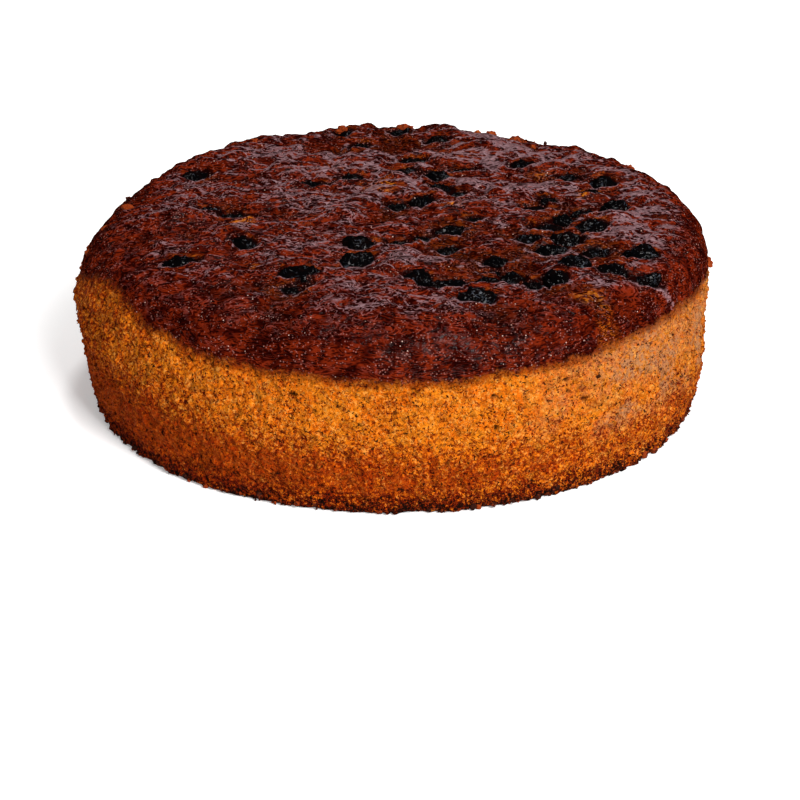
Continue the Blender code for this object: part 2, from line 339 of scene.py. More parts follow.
class Graph:
    """One material's nodes, built from its surface shader outwards."""

    # size, number of threads and shift of a net's two noises
    swirls = ((0.0058, 9.0, 0.0), (0.0044, 7.0, 31.0))
    tremble = 0.0009  # size of the threads' tremble
    tremble_share = 1.1  # how many threads it runs across
    speck_core = 0.6  # how much of a speck's radius is full

    def __init__(self, name: str) -> None:
        """Starts a material of that name with nothing but a Principled surface."""
        self.material = bpy.data.materials.new(name)
        self.material.use_nodes = True
        self.tree = self.material.node_tree
        self.surface = self.tree.nodes["Principled BSDF"]
        self.place = self.tree.nodes.new("ShaderNodeTexCoord").outputs["Object"]

    def feed(self, socket: Socket, value: object) -> None:
        """Gives a socket a fixed value, or links it to another node's output."""
        if isinstance(value, bpy.types.NodeSocket):
            self.tree.links.new(value, socket)
        elif isinstance(value, tuple) and len(value) == 3 and len(socket.default_value) == 4:
            socket.default_value = (*value, 1)
        else:
            socket.default_value = value

    def maths(self, operation: str, first: object, second: object = 0.0) -> Socket:
        """One sum on one or two numbers.

        Args:
            operation: The Math node's operation.
            first: A number or an output.
            second: Another.

        Returns:
            The output.
        """
        node = self.tree.nodes.new("ShaderNodeMath")
        node.operation = operation
        self.feed(node.inputs[0], first)
        self.feed(node.inputs[1], second)
        return node.outputs[0]

    def times(self, first: object, second: object) -> Socket:
        """The product of two numbers."""
        return self.maths("MULTIPLY", first, second)

    def plus(self, first: object, second: object) -> Socket:
        """The sum of two numbers."""
        return self.maths("ADD", first, second)

    def less(self, first: object, second: object) -> Socket:
        """The first number less the second."""
        return self.maths("SUBTRACT", first, second)

    def most(self, first: object, second: object) -> Socket:
        """The larger of two numbers."""
        return self.maths("MAXIMUM", first, second)

    def step(self, low: float, high: float, value: object) -> Socket:
        """Eases from 0 at low to 1 at high.

        Args:
            low: Where the result leaves 0.
            high: Where it reaches 1. It may be the smaller one.
            value: The output to ease.

        Returns:
            The eased output.
        """
        node = self.tree.nodes.new("ShaderNodeMapRange")
        node.interpolation_type = "SMOOTHSTEP"
        self.feed(node.inputs["Value"], value)
        turned = low > high
        node.inputs["From Min"].default_value = min(low, high)
        node.inputs["From Max"].default_value = max(low, high)
        node.inputs["To Min"].default_value = float(turned)
        node.inputs["To Max"].default_value = float(not turned)
        return node.outputs["Result"]

    def mix(self, share: object, first: object, second: object, blend: str = "MIX") -> Socket:
        """Mixes two colours.

        Args:
            share: How much of the second, from 0 to 1.
            first: A colour or an output.
            second: Another.
            blend: The Mix node's way of blending.

        Returns:
            The mixed colour.
        """
        node = self.tree.nodes.new("ShaderNodeMix")
        node.data_type = "RGBA"
        node.blend_type = blend
        self.feed(node.inputs["Factor"], share)
        self.feed(node.inputs[6], first)
        self.feed(node.inputs[7], second)
        return node.outputs[2]

    def filtered(self, colour: object, glass: object) -> Socket:
        """A colour as it looks through a coloured glass: the product of the two."""
        return self.mix(1.0, colour, glass, "MULTIPLY")

    def blend(self, share: object, first: object, second: object) -> Socket:
        """Mixes two numbers.

        Args:
            share: How much of the second, from 0 to 1.
            first: A number or an output.
            second: Another.

        Returns:
            The mixed number.
        """
        node = self.tree.nodes.new("ShaderNodeMix")
        node.data_type = "FLOAT"
        self.feed(node.inputs["Factor"], share)
        self.feed(node.inputs[2], first)
        self.feed(node.inputs[3], second)
        return node.outputs[0]

    def mask(self, name: str) -> Socket:
        """A number that the mesh carries at its points."""
        node = self.tree.nodes.new("ShaderNodeAttribute")
        node.attribute_name = name
        return node.outputs["Fac"]

    def noise(self, noise: Noise, place: object = None) -> Socket:
        """A noise's value at each place.

        Args:
            noise: The noise.
            place: The coordinates to read, where they aren't the object's own.

        Returns:
            Its value.
        """
        node = self.tree.nodes.new("ShaderNodeTexNoise")
        node.noise_dimensions = "4D"
        node.inputs["W"].default_value = noise.shift
        node.inputs["Scale"].default_value = 1 / noise.pitch
        node.inputs["Detail"].default_value = noise.detail
        node.inputs["Roughness"].default_value = noise.rough
        node.inputs["Distortion"].default_value = noise.twist
        self.feed(node.inputs["Vector"], self.place if place is None else place)
        return node.outputs["Fac"]

    def patches(self, noise: Noise) -> Socket:
        """The soft patches that a noise makes, from 0 outside them to 1 inside."""
        return self.step(*noise.ease, self.noise(noise))

    def scaled(self, scale: Place) -> Socket:
        """The object's coordinates, scaled along x, y and z."""
        node = self.tree.nodes.new("ShaderNodeVectorMath")
        node.operation = "MULTIPLY"
        self.feed(node.inputs[0], self.place)
        node.inputs[1].default_value = scale
        return node.outputs[0]

    def stirred(self, pitch: float, reach: float) -> Socket:
        """The object's coordinates, moved by noise.

        Args:
            pitch: The noise's size.
            reach: How far it moves them.

        Returns:
            The moved coordinates.
        """
        noise = self.tree.nodes.new("ShaderNodeTexNoise")
        noise.inputs["Scale"].default_value = 1 / pitch
        noise.inputs["Detail"].default_value = 1.0
        self.feed(noise.inputs["Vector"], self.place)
        centred = self.tree.nodes.new("ShaderNodeVectorMath")
        centred.operation = "SUBTRACT"
        self.feed(centred.inputs[0], noise.outputs["Color"])
        centred.inputs[1].default_value = (0.5, 0.5, 0.5)
        moved = self.tree.nodes.new("ShaderNodeVectorMath")
        moved.operation = "MULTIPLY_ADD"
        self.feed(moved.inputs[0], centred.outputs[0])
        moved.inputs[1].default_value = (reach, reach, reach)
        self.feed(moved.inputs[2], self.place)
        return moved.outputs[0]

    def threads(self, place: object, coarse: float, bend: object = 0.0) -> Socket:
        """A net of long threads: the contour lines of two swirled noises laid over each other.

        Args:
            place: The coordinates to read.
            coarse: How much wider apart the threads are than the finest.
            bend: What is added to the noises, so that the threads also follow its contours.

        Returns:
            How far each place is from the middle of a thread: 0 on it, and 1 halfway to the next.
        """
        nearest = None
        for pitch, count, shift in self.swirls:
            swirl = self.noise(Noise(pitch, 0.0, twist=0.6, shift=shift), place)
            tremble = self.noise(Noise(self.tremble * coarse, 0.0, twist=0.5, shift=shift + 5), place)
            line = self.plus(self.times(swirl, count / coarse), self.times(tremble, self.tremble_share))
            phase = self.maths("FRACT", self.plus(line, bend))
            away = self.times(self.maths("ABSOLUTE", self.less(phase, 0.5)), 2.0)
            nearest = away if nearest is None else self.maths("MINIMUM", nearest, away)
        return nearest

    def specks(self, specks: Specks, place: object) -> Socket:
        """Round specks about the spots of cellular noise, in its patches.

        Args:
            specks: The kind of speck.
            place: The coordinates to read.

        Returns:
            How much each place has of them.
        """
        node = self.tree.nodes.new("ShaderNodeTexVoronoi")
        node.inputs["Scale"].default_value = 1 / specks.pitch
        self.feed(node.inputs["Vector"], place)
        spots = self.step(specks.reach, self.speck_core * specks.reach, node.outputs["Distance"])
        return self.times(self.times(spots, self.patches(specks.where)), specks.strength)

    def bump(self, height: object, depth: float) -> Socket:
        """Bends the surface's normal by a height.

        Args:
            height: The height, from 0 to 1.
            depth: What a height of 1 measures.

        Returns:
            The bent normal.
        """
        node = self.tree.nodes.new("ShaderNodeBump")
        node.inputs["Strength"].default_value = 1.0
        node.inputs["Distance"].default_value = depth
        self.feed(node.inputs["Height"], height)
        return node.outputs["Normal"]

    def set(self, **inputs: object) -> None:
        """Feeds the surface shader's inputs, named with underscores for spaces."""
        for name, value in inputs.items():
            self.feed(self.surface.inputs[name.replace("_", " ")], value)


@dataclass(frozen=True)
class CrustFinish:
    """Red-brown, darker in blotches, rusty to amber in moist hollows; painted light along its threads and on
    what stands up, painted shade between the threads, in hollows and beside the raisins, a painted greyish
    sheen on the threads of what stands up, and painted glints and sparkles here and there."""

    mahogany: Colour = (0.0175, 0.0009, 0.0003)
    red: Colour = (0.0640, 0.0046, 0.0009)
    rust: Colour = (0.0780, 0.0100, 0.0010)
    amber: Colour = (0.1900, 0.0450, 0.0025)
    # the painted sheen: a greyish highlight colour laid on the crust's threads
    painted_sheen: Colour = (0.1800, 0.1020, 0.1060)
    glint: Colour = (0.3000, 0.1200, 0.1000)
    # painted sparkles: pale specks that stand in for the crust's tiny glints
    sparkle: Colour = (0.560, 0.360, 0.300)
    # the colour of the pores and holes, and of the painted shade beside the raisins
    pit: Colour = (0.0060, 0.0005, 0.0003)
    flow: Place = (0.62, 0.85, 2.2)  # how finely the threads run along x, y and z
    coarse: float = 1.65  # how much wider apart than the finest they are
    bend: float = 1.5  # how many more there are from a fold's foot to its top
    thread: Span = (0.52, 0.06)  # how far from its middle a thread begins, and is full
    between: Colour = (0.46, 0.32, 0.30)  # how bright the crust is between its raised threads: painted shade
    along: Colour = (1.80, 2.15, 1.95)  # and along them: painted light
    hollow_shade: float = 0.55  # how bright it is in its hollows: painted shade
    crest_light: float = 1.12  # and on what stands up: painted light
    blotches: Noise = Noise(0.0060, 2.5, 0.6, 0.5, ease=(0.40, 0.60))  # where it is red, not mahogany
    damp: Noise = Noise(0.0026, 2.5, 0.6, 0.8, 8.0, (0.38, 0.56))  # where its moist patches are moistest
    driest: float = 0.25  # what the rest of them have of that
    rusting: Span = (0.05, 0.75)  # how moist it is where rust begins, and is full
    ambering: Span = (0.66, 1.0)  # and amber
    amber_gaps: float = 0.15  # how much of the amber there is between the threads
    thick_sheen: Noise = Noise(0.0055, 2.5, 0.6, shift=41.0, ease=(0.36, 0.60))  # where the painted sheen lies thick
    sheen_amount: Span = (0.60, 1.1)  # how much painted sheen there is elsewhere, and there
    sheen_reach: float = 0.78  # how far from a thread's middle a full painted sheen reaches
    sheen_least: float = 0.01  # and where there is none
    sheen_edge: Span = (-0.10, 0.06)  # how softly it ends
    sheen_full: float = 0.36  # how much painted sheen hides the crust along the threads
    sheen_thinning: Noise = Noise(0.0016, 1.0, shift=44.0, ease=(0.38, 0.62))  # where the painted sheen isn't thinned
    sheen_thinning_share: float = 0.60  # what is left of it where it is
    hazy: Span = (0.20, 0.90)  # how much painted sheen makes a haze between the threads too
    haze: float = 0.64  # how thick that is at most
    streak: Span = (0.95, 0.15)  # how far from a thread's middle the painted sheen brightens to a painted highlight
    streaks: Noise = Noise(0.0013, 1.0, shift=46.0, ease=(0.30, 0.62))
    dull: Colour = (0.76, 0.70, 0.74)  # how bright the painted sheen is between its highlight streaks
    bright: Colour = (1.20, 1.26, 1.32)  # and along them
    hole: Span = (0.52, 0.76)  # how far from a thread's middle holes begin
    holes: Noise = Noise(0.0030, 2.0, 0.6, 0.8, 3.0, (0.44, 0.60))
    gap_shade_patches: Noise = Noise(0.0018, shift=71.0, ease=(0.30, 0.46))  # where the painted shade beside a raisin is open
    pores: Specks = Specks(0.0023, 0.26, Noise(0.0070, shift=13.0, ease=(0.42, 0.54)))
    glints: Specks = Specks(0.00105, 0.30, Noise(0.0035, shift=61.0, ease=(0.42, 0.56)), 0.45)
    sparkles: Specks = Specks(0.0021, 0.13, Noise(0.0050, shift=65.0, ease=(0.52, 0.62)), 0.8)

    def bare(self, graph: Graph, thread: Socket) -> Socket:
        """The crust without its painted sheen.

        Args:
            graph: The material's nodes.
            thread: How much each place has of a thread.

        Returns:
            Its colour.
        """
        base = graph.mix(graph.patches(self.blotches), self.mahogany, self.red)
        moist = graph.times(graph.mask("moist"), graph.blend(graph.patches(self.damp), self.driest, 1.0))
        base = graph.mix(graph.step(*self.rusting, moist), base, self.rust)
        ambered = graph.times(graph.step(*self.ambering, moist), graph.blend(thread, self.amber_gaps, 1.0))
        base = graph.mix(ambered, base, self.amber)
        base = graph.filtered(base, graph.mix(thread, self.between, self.along))
        # painted shade in the hollows and painted light on what stands up, from the relief mask
        low_shade = graph.step(0.0, -1.0, graph.mask("relief"))
        return graph.filtered(base, graph.blend(low_shade, self.crest_light, self.hollow_shade))

    def lay_sheen(self, graph: Graph, base: Socket, away: Socket) -> Socket:
        """Lays the painted sheen on the crust: along the threads, the wider the more of it, with a haze
        between.

        Args:
            graph: The material's nodes.
            base: The crust's colour without it.
            away: How far each place is from the middle of a thread.

        Returns:
            The colour.
        """
        amount = graph.times(graph.mask("painted_sheen"), graph.blend(graph.patches(self.thick_sheen), *self.sheen_amount))
        width = graph.plus(graph.times(amount, self.sheen_reach), self.sheen_least)
        along = graph.step(*self.sheen_edge, graph.less(width, away))
        strong = graph.blend(graph.patches(self.sheen_thinning), self.sheen_thinning_share, 1.0)
        shown = graph.times(graph.times(along, strong), graph.step(0.0, self.sheen_full, amount))
        shown = graph.most(shown, graph.times(graph.step(*self.hazy, amount), self.haze))
        streaky = graph.times(graph.step(*self.streak, away), graph.patches(self.streaks))
        return graph.mix(shown, base, graph.filtered(self.painted_sheen, graph.mix(streaky, self.dull, self.bright)))

    def lay(self, graph: Graph) -> tuple[Socket, Socket]:
        """Builds the crust's nodes.

        Args:
            graph: The material's nodes.

        Returns:
            The colour and the fine relief.
        """
        flow = graph.scaled(self.flow)
        away = graph.threads(flow, self.coarse, graph.times(graph.mask("relief"), self.bend))
        thread = graph.step(*self.thread, away)
        colour = self.lay_sheen(graph, self.bare(graph, thread), away)
        holes = graph.times(graph.step(*self.hole, away), graph.patches(self.holes))
        # painted shade in the gaps beside the raisins, open in patches
        gap_shade_patches = graph.times(graph.mask("gap_shade"), graph.patches(self.gap_shade_patches))
        dark = graph.most(graph.most(holes, graph.specks(self.pores, flow)), gap_shade_patches)
        colour = graph.mix(dark, colour, self.pit)
        # painted glints, then painted sparkles
        colour = graph.mix(graph.specks(self.glints, graph.place), colour, self.glint)
        colour = graph.mix(graph.specks(self.sparkles, graph.place), colour, self.sparkle)
        return colour, graph.less(thread, dark)


@dataclass(frozen=True)
class CrumbFinish:
    """Orange and golden flakes with olive patches, pale flecks as painted sparkles and small black pores,
    with painted light on its raised grains and painted shade in its hollows and beside its pale strands; a
    painted shadow just under the crust, browned low down and scorched at the foot. Loose bits are paler or
    darker by their tint."""

    gold: Colour = (0.478, 0.131, 0.0044)
    orange: Colour = (0.440, 0.081, 0.0012)
    pale: Colour = (0.600, 0.275, 0.0540)
    olive: Colour = (0.165, 0.052, 0.0030)
    char: Colour = (0.0070, 0.0020, 0.0010)
    skin: Colour = (0.280, 0.128, 0.0560)
    deep: Colour = (0.45, 0.30, 0.30)  # what a dark bit keeps of the colour
    shading: Colour = (0.42, 0.30, 0.25)  # what the painted shadow just below the crust leaves of it
    toasting: Colour = (0.49, 0.235, 0.16)  # what browning leaves of it
    scorching: Colour = (0.44, 0.23, 0.28)  # and what the tin's floor leaves of that
    rough: Noise = Noise(0.0021, 4.0, 0.70, 0.7, 4.0)
    fine: Noise = Noise(0.0010, 2.0, 0.60, 1.0, 9.0)
    golden: Noise = Noise(0.0042, 3.5, 0.70, shift=5.0, ease=(0.36, 0.64))
    shine: Span = (0.38, 0.60)  # the fine noise's values where the crumb brightens: painted light on its raised grains
    brightness: Span = (0.74, 1.16)  # how bright it is below and above them: painted shade and painted light
    coarse: float = 1.5  # how much wider apart than the finest its strands are
    broken: Noise = Noise(0.0013, 1.0, shift=33.0)  # what breaks the strands up
    strand: Span = (0.30, 0.14)  # how far from its middle a strand begins, and is full
    stranded: Span = (0.48, 0.58)  # the breaking noise's values where strands show
    # painted shadow, in olive, beside the pale strands: how far from a strand's middle it begins and is full,
    # then where the breaking noise lets it show
    strand_shadow: Span = (0.60, 0.78)
    strand_shadowed: Span = (0.54, 0.42)
    # pale flecks: painted sparkles on the crumb
    flecks: Noise = Noise(0.0012, 2.0, 0.6, 1.2, 12.0, (0.57, 0.65))
    greens: Noise = Noise(0.0046, 3.0, 0.65, 0.4, 17.0, (0.52, 0.66))  # the olive patches
    hollow_shade: Span = (0.46, 0.34)  # the rough noise's values in its hollows, painted olive as shade
    smooth: Span = (0.38, 0.58)  # and where its pale smooth patches show
    # of strands, painted strand shadows, painted sparkle flecks, patches and painted hollow shade
    shares: tuple[float, ...] = (0.50, 0.60, 0.28, 0.50, 0.60)
    bit_pale: Span = (0.2, 1.0)  # tints from which a loose bit pales
    bit_pale_share: float = 0.5
    bit_dark: Span = (-0.3, -1.0)  # and darkens
    mottle: Noise = Noise(0.0075, 5.0, 0.70, shift=19.0)
    spots: Noise = Noise(0.0024, 3.0, 0.70, 0.6, 27.0, (0.44, 0.56))
    under_mottle: float = 1.4  # how uneven the shading under the crust is
    brown_mottle: float = 1.1  # and the browning low down
    brown_spots: Span = (-0.22, 0.22)  # how much less and more it browned in spots
    brown_fine: float = 3.3  # and from grain to grain: more in the fine relief's low spots, painted shade, less on its tips, painted light
    shaded: Span = (0.05, 1.0)  # where shading begins, and is full
    toasted: Span = (0.0, 0.95)  # where browning does
    scorched: Span = (0.10, 0.80)
    charred: Span = (0.75, 1.20)
    pricks: Specks = Specks(0.0019, 0.19, Noise(0.0055, 2.0, 0.6, shift=29.0, ease=(0.46, 0.54)))
    prick_stir: Span = (0.0009, 0.0011)  # size and reach of what stirs the pricks' outlines
    pores: Noise = Noise(0.0015, 1.5, 0.55, 1.4, 23.0, (0.635, 0.66))
    pore_dark: float = 0.92
    pore_depth: float = 0.4  # of the fine relief
    relief_share: float = 0.7  # what each of the two noises gives to it

    def flakes(self, graph: Graph, rough: Socket, fine: Socket) -> Socket:
        """The crumb's own colour, before it is baked.

        Args:
            graph: The material's nodes.
            rough: The rough noise.
            fine: The fine one.

        Returns:
            The colour.
        """
        colour = graph.mix(graph.patches(self.golden), self.orange, self.gold)
        colour = graph.filtered(colour, graph.blend(graph.step(*self.shine, fine), *self.brightness))
        away = graph.threads(graph.place, self.coarse)
        broken = graph.noise(self.broken)
        layers = (
            (graph.times(graph.step(*self.strand, away), graph.step(*self.stranded, broken)), self.pale),
            (graph.times(graph.step(*self.strand_shadow, away), graph.step(*self.strand_shadowed, broken)), self.olive),
            (graph.patches(self.flecks), self.pale),
            (graph.patches(self.greens), self.olive),
            (graph.step(*self.hollow_shade, rough), self.olive),
        )
        for share, (layer, tone) in zip(self.shares, layers):
            colour = graph.mix(graph.times(layer, share), colour, tone)
        smooth_patch = graph.times(graph.mask("skin"), graph.step(*self.smooth, rough))
        colour = graph.mix(smooth_patch, colour, self.skin)
        tint = graph.mask("tint")
        pale = graph.times(graph.step(*self.bit_pale, tint), self.bit_pale_share)
        colour = graph.mix(pale, colour, self.pale)
        return graph.mix(graph.step(*self.bit_dark, tint), colour, graph.filtered(colour, self.deep))

    def lay(self, graph: Graph) -> tuple[Socket, Socket]:
        """Builds the crumb's nodes.

        Args:
            graph: The material's nodes.

        Returns:
            The colour and the fine relief.
        """
        rough, fine = graph.noise(self.rough), graph.noise(self.fine)
        colour = self.flakes(graph, rough, fine)
        mottle = graph.less(graph.noise(self.mottle), 0.5)
        uneven = graph.times(mottle, self.brown_mottle)
        uneven = graph.plus(uneven, graph.blend(graph.patches(self.spots), *self.brown_spots))
        uneven = graph.plus(uneven, graph.times(graph.less(0.5, fine), self.brown_fine))
        foot = graph.plus(graph.mask("foot"), uneven)
        under = graph.plus(graph.mask("under"), graph.times(mottle, self.under_mottle))
        for amount, ease, left in (
            (under, self.shaded, self.shading),
            (graph.plus(graph.mask("toast"), uneven), self.toasted, self.toasting),
            (foot, self.scorched, self.scorching),
        ):
            colour = graph.mix(graph.step(*ease, amount), colour, graph.filtered(colour, left))
        colour = graph.mix(graph.step(*self.charred, foot), colour, self.char)
        pricked = graph.specks(self.pricks, graph.stirred(*self.prick_stir))
        pore = graph.most(graph.most(graph.patches(self.pores), pricked), graph.mask("pore"))
        height = graph.plus(graph.times(rough, self.relief_share), graph.times(fine, self.relief_share))
        height = graph.less(height, graph.times(pore, self.pore_depth))
        return graph.mix(graph.times(pore, self.pore_dark), colour, self.char), height


@dataclass(frozen=True)
class BakedFinish:
    """Crust and crumb as one skin: the crust mask says which of the two shows, with a speckled border, so
    that the colour runs on across the joint of two pieces."""

    crust: CrustFinish = CrustFinish()
    crumb: CrumbFinish = CrumbFinish()
    border: Noise = Noise(0.0016, 3.0, 0.65, shift=51.0)
    speckle: float = 1.3  # how far it carries specks of the one into the other
    border_ease: Span = (0.20, 0.80)
    crust_relief: float = 0.00009
    crumb_relief: float = 0.00090
    gloss: Noise = Noise(0.0030, 2.0, 0.6, shift=6.0, ease=(0.35, 0.65))
    crust_roughness: Span = (0.12, 0.26)
    crumb_roughness: float = 0.9

    def dress(self) -> bpy.types.Material:
        """Builds the material.

        Returns:
            The material.
        """
        graph = Graph("baked crust and crumb")
        speckled = graph.times(graph.less(graph.noise(self.border), 0.5), self.speckle)
        mask = graph.step(*self.border_ease, graph.plus(graph.mask("crust"), speckled))
        crust, crust_height = self.crust.lay(graph)
        crumb, crumb_height = self.crumb.lay(graph)
        normal = graph.tree.nodes.new("ShaderNodeMix")
        normal.data_type = "VECTOR"
        graph.feed(normal.inputs["Factor"], mask)
        graph.feed(normal.inputs[4], graph.bump(crumb_height, self.crumb_relief))
        graph.feed(normal.inputs[5], graph.bump(crust_height, self.crust_relief))
        gloss = graph.blend(graph.patches(self.gloss), *self.crust_roughness)
        graph.set(
            Base_Color=graph.mix(mask, crumb, crust),
            Normal=normal.outputs[1],
            Roughness=graph.blend(mask, self.crumb_roughness, gloss),
            IOR=1.45,
            Specular_IOR_Level=0.035,
        )
        return graph.material


@dataclass(frozen=True)
class RaisinFinish:
    """Near-black wrinkled skin: glossy on its ridges, with painted bluish glints along some threads, where it
    is a little rougher.
    """

    skin: Colour = (0.0010, 0.0009, 0.0011)
    wine: Colour = (0.0026, 0.0011, 0.0010)
    glint_streak: Colour = (0.0420, 0.0480, 0.0600)
    wines: Noise = Noise(0.003, ease=(0.45, 0.7))
    glint_streaks: Noise = Noise(0.0030, shift=7.0, ease=(0.54, 0.68))
    coarse: float = 1.5  # how much wider apart than the finest the painted glints' threads are
    thread: Span = (0.13, 0.03)  # how far from its middle a thread begins, and is full
    roughness: Span = (0.10, 0.20)
    relief: Noise = Noise(0.0016, 1.0, twist=1.0)
    depth: float = 0.00003

    def dress(self) -> bpy.types.Material:
        """Builds the material.

        Returns:
            The material.
        """
        graph = Graph("raisin skin")
        colour = graph.mix(graph.patches(self.wines), self.skin, self.wine)
        streak = graph.step(*self.thread, graph.threads(graph.place, self.coarse))
        glint_streaks = graph.patches(self.glint_streaks)
        graph.set(
            Base_Color=graph.mix(graph.times(streak, glint_streaks), colour, self.glint_streak),
            Roughness=graph.blend(glint_streaks, *self.roughness),
            Normal=graph.bump(graph.noise(self.relief), self.depth),
            IOR=1.45,
            Specular_IOR_Level=0.06,
        )
        return graph.material


@dataclass(frozen=True)
class LooseFinish:
    """Loose crumbs, each with its own share of browning in the mesh's brown mask."""

    orange: Colour = (0.36, 0.085, 0.0060)
    rust: Colour = (0.20, 0.026, 0.0030)
    char: Colour = (0.022, 0.0045, 0.0020)
    rough: Noise = Noise(0.0012, 3.0, 0.70, 0.8)
    middle: float = 0.42  # the noise's value where a crumb is as brown as its mask says
    mottle: float = 2.2  # how much its browning varies about that
    rusting: Span = (0.3, 0.8)  # how brown it is where rust begins, and is full
    charring: Span = (0.9, 1.3)
    depth: float = 0.0006

    def dress(self) -> bpy.types.Material:
        """Builds the material.

        Returns:
            The material.
        """
        graph = Graph("loose crumb")
        rough = graph.noise(self.rough)
        brown = graph.plus(graph.mask("brown"), graph.times(graph.less(rough, self.middle), self.mottle))
        colour = graph.mix(graph.step(*self.rusting, brown), self.orange, self.rust)
        graph.set(
            Base_Color=graph.mix(graph.step(*self.charring, brown), colour, self.char),
            Normal=graph.bump(rough, self.depth),
            Roughness=0.7,
            IOR=1.45,
            Specular_IOR_Level=0.08,
        )
        return graph.material


# ---------------------------------------------------------------- the cake's form


@dataclass(frozen=True)
class Patches:
    """Soft patches of gradient noise over a surface."""

    pitch: float
    seed: int
    low: float  # the noise's value where a patch begins
    high: float  # and where it is full

    def at(self, points: Points) -> np.ndarray:
        """How much each point has of the patches, from 0 to 1."""
        return smoothstep(self.low, self.high, ripple(points, self.pitch, self.seed))


@dataclass(frozen=True)
class Raisin:
    """Where one raisin lies, read from its solid: its middle, its three axes as columns, longest first, and
    its half lengths along them."""

    node: str
    middle: np.ndarray
    axes: np.ndarray
    half: np.ndarray

    @classmethod
    def read(cls, node: str) -> "Raisin":
        """Finds a raisin's middle from its box and its axes from the spread of its points.

        Args:
            node: The solid's name.

        Returns:
            The raisin.
        """
        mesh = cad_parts[node].data
        points = np.empty(3 * len(mesh.vertices), np.float32)
        mesh.vertices.foreach_get("co", points)
        points = np.unique(points.reshape(-1, 3).astype(float).round(7), axis=0)
        middle = (points.min(axis=0) + points.max(axis=0)) / 2
        _, _, rows = np.linalg.svd(points - points.mean(axis=0), full_matrices=False)
        rows = rows * np.sign(rows[np.arange(3), np.abs(rows).argmax(axis=1)])[:, None]
        rows[2] = np.cross(rows[0], rows[1])
        half = np.abs((points - middle) @ rows.T).max(axis=0)
        return cls(node, middle, rows.T, half)


